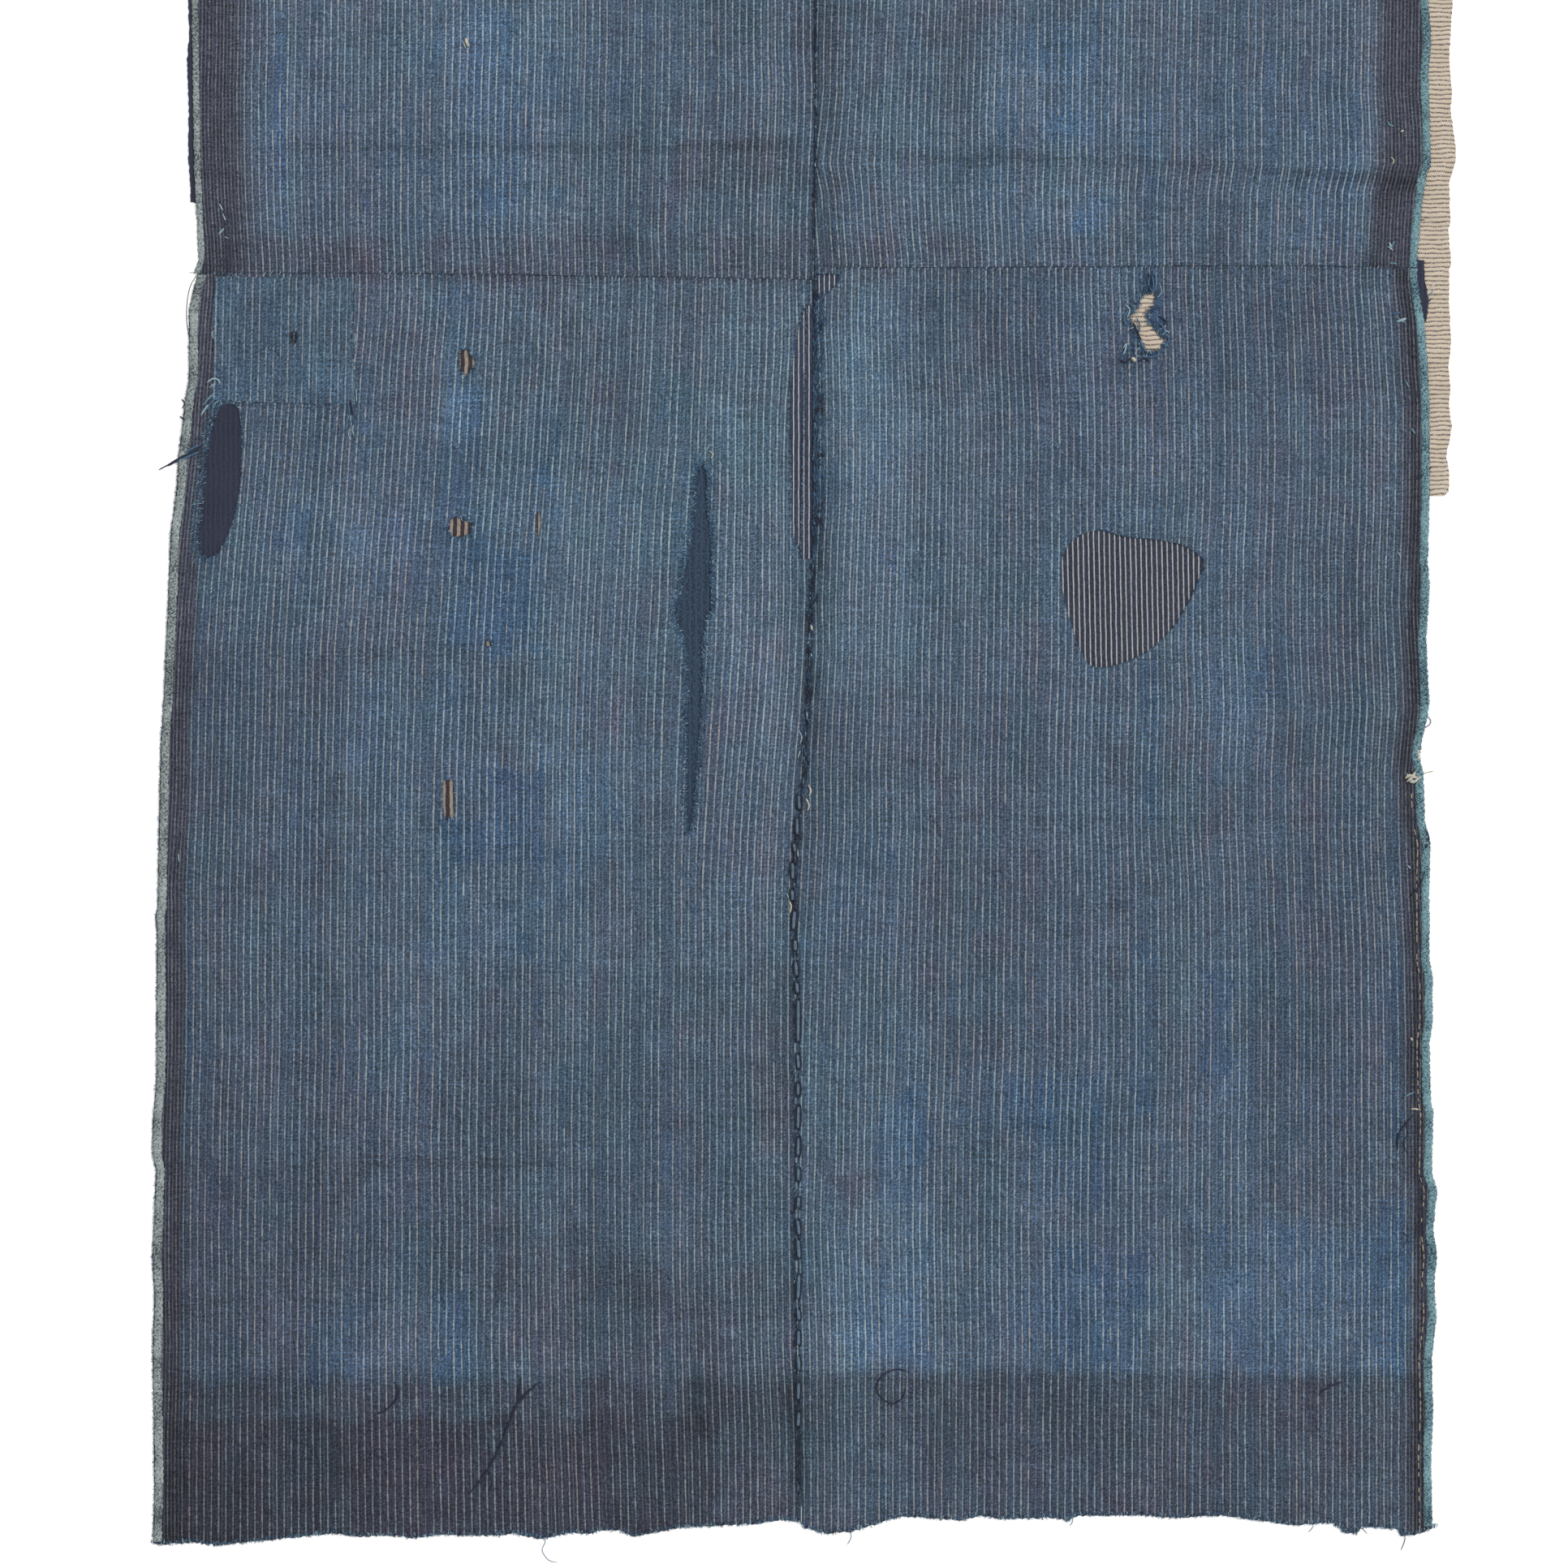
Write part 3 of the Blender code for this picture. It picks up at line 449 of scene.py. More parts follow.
RIGHT_OF_SEAM = [(430, 0.02), (235, 0.04), (90, 0.3), (-24, 0.32), (-60, 0.14), (-96, 0.2), (-130, 0.0)]

# Dark tufts along the middle seam: place and size.
FRAYED_SPOTS = [
    (9.0, 168.8, 1.2), (6.5, 162.5, 0.8), (8.2, 139.4, 0.7), (6.5, 222.6, 0.9), (9.0, 206.6, 0.6), (7.3,
    105.8, 0.8), (5.7, 80.6, 0.8), (3.1, 55.4, 0.8), (2.7, 38.6, 0.6), (5.7, 65.9, 0.6), (4.0, 17.6,
    0.6), (0.6, -7.6, 0.7), (-0.6, -30.7, 0.7), (-2.3, -58.0, 0.6), (-4.4, -76.9, 0.7),
]
# Loose threads that lie on the face or hang off an edge: their places, their radius and their yarn.
LOOSE_THREADS = [
    ([(-222, -357.4), (-215.2, -354.1), (-210.6, -349.4), (-209.4, -344)], 0.55, "navy"),
    ([
        (-173.2, -398.2), (-168.2, -392.7), (-163.6, -386), (-159.4, -378.8), (-156, -371.3),
        (-153.1, -362.9), (-149.3, -353.2), (-143.8, -346.1), (-136.3, -340.2),
    ], 0.55, "navy"),
    ([(-149.3, -353.2), (-147.2, -347.8), (-146.8, -343.1), (-146.4, -338.1)], 0.5, "navy"),
    ([(-163.6, -386), (-161.5, -390.6), (-162.3, -397.3)], 0.25, "navy"),
    ([
        (54.8, -335.2), (47.7, -333.9), (40.9, -336.8), (37.6, -342.7), (40.1, -348.6), (46, -351.5),
        (51, -348.6), (52.7, -343.6),
    ], 0.38, "navy"),
    ([(266.5, -346.9), (270.3, -343.6), (273.6, -341.9), (277.8, -340.6)], 0.5, "navy"),
    ([(310.6, -205), (312.3, -211.7), (310.2, -216.7), (311.8, -221.8)], 0.2, "navy"),
    ([(310.2, -262.9), (312.3, -266.3), (310.6, -269.6)], 0.2, "navy"),
    ([(-313.9, 232.7), (-317.3, 226.8), (-319, 218.8), (-319.4, 209.6), (-318.1, 199.5)], 0.2, "navy"),
    ([(323.6, 362), (325.7, 357.8), (324, 353.6), (325.3, 349.4)], 0.22, "navy"),
    ([(321.9, 139.4), (319.8, 135.2), (321.9, 131), (320.7, 126.8)], 0.22, "navy"),
    ([(315.2, 260), (321.5, 260.8), (327.4, 259.6), (333.3, 260.4)], 0.3, "navy"),
    ([(316.5, 126.4), (321.5, 130.2), (326.6, 134.4), (330.8, 137.3)], 0.3, "navy"),
    ([
        (-135.9, -418.3), (-133.8, -422.9), (-135.4, -427.6), (-132.1, -432.6), (-127.5, -433.9),
    ], 0.2, "blue"),
    ([(22.9, -416.2), (24.6, -420.4), (22.5, -424.6)], 0.2, "blue"),
    ([(262.3, -412), (263.6, -415), (261, -418.3)], 0.2, "blue"),
    ([(279.1, -413.3), (282.9, -417.5), (287.9, -415.8), (291.7, -419.2)], 0.2, "navy"),
    ([(309.8, -416.2), (311, -421.7), (308.9, -427.6)], 0.22, "navy"),
    ([(137.5, -409.1), (139.2, -412.4), (137.5, -415)], 0.2, "blue"),
    ([(314.8, -28.6), (318.1, -31.1), (319, -36.1), (316.5, -41.2)], 0.22, "navy"),
    ([(319.8, 4.2), (323.2, 3.4), (324.4, 0.8), (321.9, -1.7), (319, -0.8)], 0.24, "navy"),
    ([(307.2, 89), (308.9, 85.7)], 0.24, "pale"),
    ([(-323.6, -67.2), (-323.2, -71.4)], 0.3, "pale"),
    ([(-336.2, -98.3), (-333.7, -100), (-334.9, -102.9)], 0.26, "blue"),
    ([(-48.9, 141.1), (-46.8, 139.4), (-48.1, 137.3)], 0.34, "beige"),
    ([(-44.3, 136.1), (-42.6, 134), (-43.9, 132.3)], 0.3, "pale"),
    ([(163.6, 189.8), (166.1, 193.2), (168.6, 194.9), (166.1, 196.6), (169.5, 191.5)], 0.26, "blue"),
    ([(173.7, 194.9), (171.2, 191.5), (173.7, 189.8)], 0.26, "pale"),
    ([(182.5, 220.1), (185, 223.4), (183.8, 227.6)], 0.2, "pale"),
    ([(-61.1, -84.8), (-59, -81.5), (-60.7, -78.1), (-58.2, -74.8)], 0.3, "blue"),
    ([(-64, -80.6), (-61.9, -78.1), (-63.2, -74.8), (-60.7, -72.2)], 0.3, "blue"),
    ([(-56.5, -71.4), (-54, -74.8), (-55.6, -79)], 0.28, "blue"),
    ([(-48.1, 135.2), (-46.4, 131), (-47.7, 126), (-45.6, 121)], 0.26, "blue"),
    ([(-50.6, 141.1), (-48.9, 144.5), (-46.4, 142.8)], 0.24, "pale"),
    ([(314.8, -167.2), (318.1, -169.7), (319.8, -173.9)], 0.22, "navy"),
    ([(319.8, -192.4), (321.9, -189.8), (323.2, -193.2)], 0.22, "navy"),
    ([(-333.7, 131.5), (-329.1, 134), (-324.4, 136.9)], 0.35, "navy"),
    ([(-329.1, 133.6), (-322.8, 137.3), (-315.6, 140.7), (-311, 144.1)], 0.75, "navy"),
    ([(-325.3, 135.2), (-318.6, 138.2), (-312.7, 140.7)], 0.6, "blue"),
    ([(-321.9, 139), (-316.9, 142), (-312.3, 144.1)], 0.5, "blue"),
    ([(-321.9, 168), (-320.2, 165.9), (-321.5, 163.4)], 0.45, "navy"),
    ([(-322.8, 159.2), (-320.2, 156.7), (-321.1, 154.6)], 0.45, "navy"),
    ([(-324.4, 122.6), (-322.8, 119.7), (-324, 117.6)], 0.4, "navy"),
    ([(-327.4, 100), (-325.7, 97)], 0.4, "blue"),
    ([(-302.2, 268.8), (-300.5, 265.4)], 0.42, "pale"),
    ([(-300.5, 263.8), (-299.2, 260.4)], 0.42, "pale"),
    ([(-302.6, 253.3), (-300.1, 256.2)], 0.5, "pale"),
    ([(-299.7, 252), (-297.6, 251.2)], 0.3, "pale"),
    ([(-305.1, 210), (-303.9, 207.1), (-305.6, 204.5)], 0.36, "pale"),
    ([(-304.7, 204.1), (-306.4, 201.2), (-304.3, 198.7)], 0.36, "pale"),
    ([(-306, 208.3), (-303.4, 203.3), (-302.6, 199.1)], 0.3, "teal"),
    ([(-308.9, 176.4), (-306, 178.5), (-303, 178.1), (-301.8, 175.6)], 0.45, "pale"),
    ([(-307.6, 173.9), (-304.7, 176), (-306, 173)], 0.4, "pale"),
    ([(-302.6, 173), (-299.2, 172.2), (-295.9, 173)], 0.34, "teal"),
    ([(-294.2, 171.4), (-291.3, 169.3)], 0.34, "pale"),
    ([(-311, 164.6), (-308.1, 168), (-305.6, 170.5)], 0.5, "teal"),
    ([(-309.3, 162.1), (-306.8, 165.9), (-303.4, 168.8)], 0.45, "blue"),
    ([(-311.8, 159.6), (-309.3, 163.4), (-307.6, 165.1)], 0.5, "pale"),
    ([(-306, 162.5), (-304.3, 165.9), (-301.8, 168)], 0.36, "teal"),
    ([(-234.6, 167.2), (-234.1, 163.4), (-233.3, 159.6)], 0.7, "navy"),
    ([(-235.8, 165.9), (-235, 162.1), (-235.4, 160)], 0.5, "blue"),
    ([(301.8, 311.6), (303, 309.5), (305.1, 309.1)], 0.5, "teal"),
    ([(308.5, 306.2), (310.2, 307)], 0.55, "beige"),
    ([(303.4, 293.2), (305.1, 291.5), (304.3, 289)], 0.34, "beige"),
    ([(302.6, 249.1), (303.9, 246.1)], 0.6, "pale"),
    ([(305.1, 249.5), (303.9, 245.7)], 0.55, "teal"),
    ([(301.8, 247), (304.7, 244.9)], 0.5, "pale"),
    ([(302.6, 238.1), (306.4, 238.1)], 0.6, "teal"),
    ([(303, 233.1), (304.3, 231)], 0.6, "blue"),
    ([(304.7, 211.7), (308.5, 212.9)], 0.6, "blue"),
    ([(306.4, 207.9), (311.4, 209.6)], 0.75, "pale"),
    ([(307.2, 209.6), (310.6, 207.5)], 0.6, "teal"),
    ([(311, 177.2), (312.7, 174.3)], 0.6, "teal"),
    ([(313.9, 152.9), (316.1, 149.9)], 0.55, "teal"),
    ([(307.2, 89), (308.9, 86.5)], 0.4, "pale"),
    ([(321.9, 223.4), (324.4, 226), (326.6, 227.6)], 0.5, "beige"),
    ([(322.8, 220.9), (325.7, 224.3)], 0.42, "teal"),
    ([(322.3, 217.6), (324.9, 220.1)], 0.4, "navy"),
    ([(325.3, 150.4), (327.4, 149.1)], 0.35, "beige"),
    ([(2.3, -31.5), (3.6, -34.4), (2.7, -37.4)], 0.5, "beige"),
    ([(1.1, -38.6), (2.7, -42), (1.9, -44.9)], 0.45, "beige"),
    ([(-7.8, -91.6), (-6.5, -94.1), (-7.3, -97.9)], 0.5, "beige"),
    ([(-9, -87.4), (-7.8, -90.3)], 0.42, "pale"),
    ([(3.6, 51.2), (4.4, 48.3)], 0.6, "beige"),
    ([(-2.7, -3.4), (-1.1, -6.7), (-1.9, -10.1)], 0.34, "pale"),
    ([(-1.9, -13.9), (-3.1, -17.6)], 0.34, "pale"),
    ([(169.5, 189.4), (170.7, 188.2), (171.6, 187.7)], 0.95, "beige"),
    ([(-174.9, 354.5), (-174.1, 352), (-173.2, 350.3)], 0.9, "beige"),
    ([(-176.2, 352.8), (-174.9, 349.4)], 0.4, "pale"),
    ([(177.9, 233.1), (179.5, 229.3), (178.3, 224.3), (179.1, 221.8)], 0.4, "navy"),
    ([(177, 231.8), (177.9, 226.8), (176.6, 222.6)], 0.4, "deep"),
    ([(180, 231.8), (180.8, 226.8), (180, 222.6)], 0.45, "blue"),
    ([(181.7, 232.7), (182.1, 227.6), (181.2, 223.4)], 0.3, "teal"),
    ([(179.1, 232.3), (178.3, 227.6), (180, 223.4)], 0.4, "blue"),
    ([(167.8, 213.4), (165.3, 210), (166.9, 205.8)], 0.5, "blue"),
    ([(166.1, 216.7), (168.6, 214.2), (166.9, 210)], 0.4, "pale"),
    ([(182.1, 208.3), (185.4, 205.8), (187.1, 201.6)], 0.45, "blue"),
    ([(183.3, 210.8), (187.1, 208.3), (185, 205)], 0.4, "navy"),
    ([(186.3, 202.4), (188.8, 199.1), (186.3, 194.9)], 0.45, "blue"),
    ([(185.4, 200.8), (187.5, 203.3), (189.2, 201.6)], 0.34, "pale"),
    ([(164.8, 194), (166.9, 196.6), (165.3, 190.7)], 0.4, "pale"),
    ([(163.6, 188.2), (166.5, 186.9), (168.6, 189)], 0.5, "navy"),
    ([(172.8, 187.3), (176.2, 189), (178.7, 187.3)], 0.5, "navy"),
    ([(175.3, 189.8), (180.4, 189.8), (184.6, 191.5)], 0.45, "blue"),
    ([(172, 210), (173.7, 205.8), (172.8, 201.6)], 0.4, "blue"),
    ([(170.3, 207.5), (172, 203.3), (174.5, 198.2)], 0.5, "navy"),
    ([(173.7, 199.1), (175.3, 194.9), (177.9, 191.5)], 0.5, "blue"),
    ([(311, -28.1), (313.5, -26.5), (316.1, -28.1)], 0.9, "beige"),
    ([(311.8, -29.8), (314.4, -27.7), (316.1, -24.8)], 0.8, "beige"),
    ([(313.1, -29.4), (315.2, -30.2), (317.7, -28.1)], 0.7, "beige"),
    ([(315.6, -26.5), (317.3, -28.6), (319, -26.9)], 0.6, "beige"),
    ([(316.5, -27.7), (320.7, -25.6), (325.7, -24.4)], 0.34, "beige"),
    ([(311.8, -25.6), (314.4, -29), (316.9, -29.8)], 0.5, "pale"),
    ([(317.3, -13.4), (318.1, -16), (317.7, -18.5)], 0.7, "beige"),
    ([(313.1, -89.9), (315.6, -87.4), (319.8, -80.6), (321.5, -74.8)], 0.4, "navy"),
    ([(321.5, -54.6), (323.2, -59.6), (321.1, -64.7)], 0.6, "navy"),
    ([(307.2, -220.1), (307.6, -212.5), (311.4, -206.6), (315.6, -201.6)], 0.4, "navy"),
    ([(310.2, -193.2), (313.1, -191.5), (315.6, -190.7)], 0.5, "teal"),
    ([(313.9, -199.1), (316.1, -199.1), (318.1, -199.5)], 0.5, "beige"),
    ([(313.9, -162.1), (314.8, -163.8)], 0.6, "beige"),
    ([(312.3, -73.1), (313.9, -74.8)], 0.5, "pale"),
    ([
        (-222, -357.4), (-216.1, -354.9), (-211.9, -350.3), (-210.2, -344.4), (-211.9, -340.2),
    ], 0.4, "navy"),
    ([
        (-172.8, -397.7), (-164, -386.4), (-156.4, -371.3), (-149.7, -355.3), (-147.2, -341.9),
    ], 0.5, "navy"),
    ([(-147.2, -351.1), (-142.2, -345.2), (-137.1, -340.6)], 0.45, "navy"),
]
# Dark stitches down the middle seam, by where each begins and ends.
SEAM_STITCHES = [
    (-143, -164), (-171, -178), (-186, -192), (-198, -209), (-214, -223), (-230, -236), (-245, -250),
    (-257, -264), (-267, -276), (-285, -297), (-303, -308), (-314, -321), (-327, -334), (-341, -349),
    (-356, -363), (-37, -44), (-49, -57), (-62, -66), (-72, -80), (-86, -91), (-97, -106), (-112, -117),
    (-123, -130), (-134, -139),
]
# Old running stitches in lines up and down the cloth: place across, then the two ends' heights.
STITCH_LINES = [
    ([(-251.8, 55.4), (-252.2, -45.4)], 4.2, 0.5),
    ([(-138.8, 84.8), (-137.1, -45.4)], 4.6, 0.45),
    ([(-84.2, 63.8), (-85, -301.6)], 4.4, 0.4),
    ([(132.1, -91.6), (130, -318.4)], 5.2, 0.8),
    ([(206.4, -53.8), (203.9, -318.4)], 4.8, 0.7),
    ([(251.8, -87.4), (249.3, -318.4)], 4.6, 0.5),
]


def between(rows, at):
    """The values at the places in at, from a table of (place, value) rows in any order."""
    ordered = sorted(rows)
    return np.interp(at, [row[0] for row in ordered], [row[1] for row in ordered])


def ripple(x, y, size, seed, stretch=1.0):
    """Smooth random values from -1 to 1 over the cloth, with humps size across and size * stretch along."""
    table = np.random.default_rng(seed).uniform(-1, 1, 8192)
    fx, fy = x / size + 500.0, y / (size * stretch) + 500.0
    i, j = np.floor(fx).astype(int), np.floor(fy).astype(int)
    s, t = fx - i, fy - j
    s, t = s * s * (3 - 2 * s), t * t * (3 - 2 * t)

    def corner(a, b):
        return table[((i + a) * 7919 + (j + b) * 104729) % 8192]

    low = corner(0, 0) * (1 - s) + corner(1, 0) * s
    high = corner(0, 1) * (1 - s) + corner(1, 1) * s
    return low * (1 - t) + high * t


def nearness(x, y, line):
    """How far each place is from a line of points."""
    best = np.full(np.shape(x), 1e9)
    for (ax, ay), (bx, by) in zip(line, line[1:]):
        run = np.array([bx - ax, by - ay], float)
        share = np.clip(((x - ax) * run[0] + (y - ay) * run[1]) / max(run @ run, 1e-9), 0, 1)
        best = np.minimum(best, np.hypot(x - ax - share * run[0], y - ay - share * run[1]))
    return best


def inside(x, y, outline):
    """Which places lie inside a closed outline."""
    found = np.zeros(np.shape(x), bool)
    for (ax, ay), (bx, by) in zip(outline, outline[1:] + outline[:1]):
        if ay != by:
            crosses = (ay > y) != (by > y)
            found ^= crosses & (x < (bx - ax) * (y - ay) / (by - ay) + ax)
    return found


def fine(points, step, rough=0.0, seed=1, closed=True):
    """The points joined by short steps, with rough edges."""
    made, draw = [], random.Random(seed)
    ends = points[1:] + points[:1] if closed else points[1:]
    for (ax, ay), (bx, by) in zip(points, ends):
        length = math.hypot(bx - ax, by - ay)
        count = max(1, round(length / step))
        for k in range(count):
            t = k / count
            push = rough * draw.uniform(-1, 1) if k else 0.0
            across = (-(by - ay) / max(length, 1e-6), (bx - ax) / max(length, 1e-6))
            made.append((ax + (bx - ax) * t + across[0] * push, ay + (by - ay) * t + across[1] * push))
    return made if closed else made + [points[-1]]


def rounded(points, times=2):
    """A closed outline with its corners cut off again and again."""
    for _ in range(times):
        cut = []
        for (ax, ay), (bx, by) in zip(points, points[1:] + points[:1]):
            cut += [(ax * 0.75 + bx * 0.25, ay * 0.75 + by * 0.25), (ax * 0.25 + bx * 0.75, ay * 0.25 + by * 0.75)]
        points = cut
    return points


def stripe_number(x, y, grain, marks):
    """The number of the stripe at each place, whole on a stripe's middle, along the cloth's own grain."""
    heights = [row[0] for row in reversed(grain)]
    lines = [np.interp(y, heights, [row[1][k] for row in reversed(grain)]) for k in range(len(marks))]
    number = np.zeros(np.shape(x))
    for k in range(len(marks) - 1):
        share = (x - lines[k]) / (lines[k + 1] - lines[k])
        first, last = k == 0, k == len(marks) - 2
        here = ((share >= 0) | first) & ((share < 1) | last)
        number = np.where(here, marks[k] + share * (marks[k + 1] - marks[k]), number)
    return number


def over_mends(x, y):
    """How far the mending cloths under it lift a panel."""
    lift = np.zeros(np.shape(x))
    for left, right, bottom, top in MENDS:
        away = np.maximum(np.maximum(left - x, x - right), np.maximum(bottom - y, y - top))
        share = np.clip(1 - away / RAMP, 0, 1)
        lift = np.maximum(lift, share * share * (3 - 2 * share))
    return lift * OVER_MEND


def seam_height(x, half):
    """Where the seam across a half lies."""
    return between(LEFT_SEAM if half == "left" else RIGHT_SEAM, x)


def folds(x, y):
    """The height of the creases, the crinkled seams and the cloth's own unevenness."""
    height = np.zeros(np.shape(x))
    for line, rise, half_width, _ in CREASES:
        away = nearness(x, y, line)
        height += rise * np.exp(-((away / half_width) ** 2)) * (0.8 + 0.4 * ripple(x, y, 25, 11))
    height += 0.22 * ripple(x, y, 46, 21) + 0.1 * ripple(x, y, 17, 22) + 0.05 * ripple(x, y, 6, 23)
    middle = between(MIDDLE_SEAM, y)
    at_middle = x - middle
    lumps = 0.5 + 0.5 * ripple(x, y, 3.4, 31, 1.2)
    height += np.where(at_middle > 0, np.exp(-(((at_middle - 1.9) / 1.9) ** 2)) * (0.7 + 0.5 * lumps), 0)
    height -= np.where(at_middle <= 0, np.exp(-((at_middle / 1.8) ** 2)) * 0.25, 0)
    height += 0.16 * np.exp(-((at_middle / 16) ** 2)) * ripple(x, y, 4.6, 32, 1.1)
    for half in ("left", "right"):
        at_seam = y - seam_height(x, half)
        near = (x < middle) if half == "left" else (x >= middle)
        puckered = 0.55 if half == "left" else 0.75
        below = np.exp(-(((at_seam + 1.5) / 1.4) ** 2)) * puckered * (0.6 + 0.7 * ripple(x, y, 2.6, 33, 2.0))
        above = np.exp(-(((at_seam - 1.2) / 1.2) ** 2)) * 0.2
        height += np.where(near, below + above, 0)
    left, right = between(LEFT_EDGE, y), between(RIGHT_EDGE, y)
    height += 0.5 * np.exp(-(((x - left - 3.0) / 2.4) ** 2)) + 0.5 * np.exp(-(((right - x - 3.6) / 2.4) ** 2))
    height += 0.1 * np.exp(-(((x - left) / 12) ** 2)) * ripple(x, y, 5, 34)
    height += 0.14 * np.exp(-(((right - x) / 14) ** 2)) * ripple(x, y, 6, 35)
    return height


def under_height(x, y):
    """How high the underside of a panel lies, never under the ground."""
    return np.maximum(GROUND, GROUND + over_mends(x, y) + folds(x, y))


def soft(reach, fade, away):
    """1 up to reach away, falling to 0 within fade to either side of it."""
    share = np.clip(0.5 - (away - reach) / (2 * fade), 0, 1)
    return share * share * (3 - 2 * share)


def fading(x, y):
    """The shade and hue at each place: the indigo's fading, painted shade along the creases, in the seams and at the
    slit's edge, and painted highlight along one crease ridge and on the slit's rim.
    """
    shade = 0.07 * ripple(x, y, 11, 51) + 0.06 * ripple(x, y, 27, 52) + 0.045 * ripple(x, y, 6, 53)
    shade += 0.06 * ripple(x, y, 9, 54, 18) + 0.05 * ripple(x, y, 22, 55, 9) + 0.04 * ripple(x, y, 60, 56, 0.1)
    hue = 0.3 * ripple(x, y, 9, 57, 1.6) + 0.25 * ripple(x, y, 20, 58, 2) + 0.25 * ripple(x, y, 6, 59, 0.7)
    for zone in ZONES:
        wander = ripple(x, y, max(zone.fade, 2.5) * 1.6, 41) * zone.fade * 0.9
        away = np.maximum(
            np.maximum(zone.left - x, x - zone.right), np.maximum(zone.bottom - y, y - zone.top)
        )
        share = np.clip(0.5 - (away + wander) / (2 * zone.fade), 0, 1)
        share = share * share * (3 - 2 * share)
        shade += zone.shade * share
        hue += zone.hue * share
    left, right = between(LEFT_EDGE, y), between(RIGHT_EDGE, y)
    wander = 1.2 * ripple(x, y, 9, 42, 3)
    upper = y > seam_height(x, "left")
    border = soft(np.where(upper, 24.0, 15.0), np.where(upper, 9.0, 2.2), x - left + wander)
    upper = y > seam_height(x, "right")
    border = np.maximum(border, soft(np.where(upper, 25.0, 12.5), np.where(upper, 5.0, 4.0), right - x + wander))
    shade -= 0.46 * border
    hue = hue * (1 - border) - 0.95 * border
    shade -= np.where(upper, 0.1 * border, 0.46 * np.exp(-(((right - x - 7.0) / 3.2) ** 4)))
    # Painted shade along each crease, on top of the ridge's real relief; a negative value paints a highlight along
    # the ridge.
    for line, _, half_width, dark in CREASES:
        away = nearness(x, y, line) + 0.5 * ripple(x, y, 8, 44)
        shade -= dark * np.exp(-((away / (half_width * 0.8)) ** 2))
    middle = x - between(MIDDLE_SEAM, y)
    lower = y < seam_height(x, "left")
    rough = 0.6 + 0.9 * ripple(x, y, 3.6, 45, 2.2)
    # Painted shade in the middle seam's groove, uneven along it; then the cloth right of the seam darker, and left of
    # it a little lighter.
    groove = middle - between(GROOVE_AT, y) + 0.5 * ripple(x, y, 7, 48, 2.0)
    shade -= between(GROOVE_SHADE, y) * (0.4 + rough) * np.exp(-((groove / between(GROOVE_HALF, y)) ** 2))
    beside = (0.7 + 0.8 * ripple(x, y, 5, 49, 1.5)) * np.exp(-(((middle - 5.2) / 3.4) ** 2))
    shade -= between(RIGHT_OF_SEAM, y) * beside
    shade += 0.07 * np.exp(-(((middle + 5) / 5) ** 2)) * (y < 84) * (y > -70)
    frayed = soft(130, 12, np.abs(y - 145) * 2) * np.exp(-(((middle - 2.4) / 2.6) ** 4))
    shade -= 0.36 * frayed * (0.8 + 0.9 * ripple(x, y, 3.0, 46, 1.4))
    hue += (0.4 * frayed + 0.2 * np.exp(-(((middle - 2) / 3) ** 2))) * lower
    # Painted shade in the crease of each seam across, and a lighter band just above it.
    seam = y - np.where(middle < 0, seam_height(x, "left"), seam_height(x, "right"))
    seam += 0.35 * ripple(x, y * 0, 2.6, 47)
    shade -= np.where(middle < 0, 0.2, 0.16) * np.exp(-(((seam + 0.2) / 0.8) ** 2))
    shade += 0.09 * np.exp(-(((seam - 2.0) / 1.3) ** 2)) * (x > -60)
    # Round the slit: a lighter, bluer band where the frayed rim is paler, partly painted highlight, and a painted
    # shadow right at the hole's edge.
    rim = nearness(x, y, SLIT + SLIT[:1])
    shade += 0.3 * np.exp(-(((rim - 1.6) / 1.5) ** 2)) * (0.7 + 0.6 * ripple(x, y, 4, 68)) - 0.2 * np.exp(-((rim / 0.7) ** 2))
    hue += 0.9 * np.exp(-((rim / 2.6) ** 2))
    rim = nearness(x, y, OVAL_HOLE + OVAL_HOLE[:1])
    hue += 0.9 * np.exp(-((rim / 3.5) ** 2)) * (x < OVAL_MIDDLE)
    tint = -0.25 + 0.6 * ripple(x, y, 5, 65, 2.4) + 0.6 * ripple(x, y, 14, 66, 2.5) + 0.4 * ripple(x, y, 34, 67)
    for across_, high, reach, dark, blue, green in TONES:
        share = np.exp(-(((x - across_) ** 2 + (y - high) ** 2) / reach ** 2))
        shade += dark * share
        hue += blue * share * (1 - border)
        tint += green * share
    tint *= 1 - 0.7 * border
    return shade, hue, border, tint


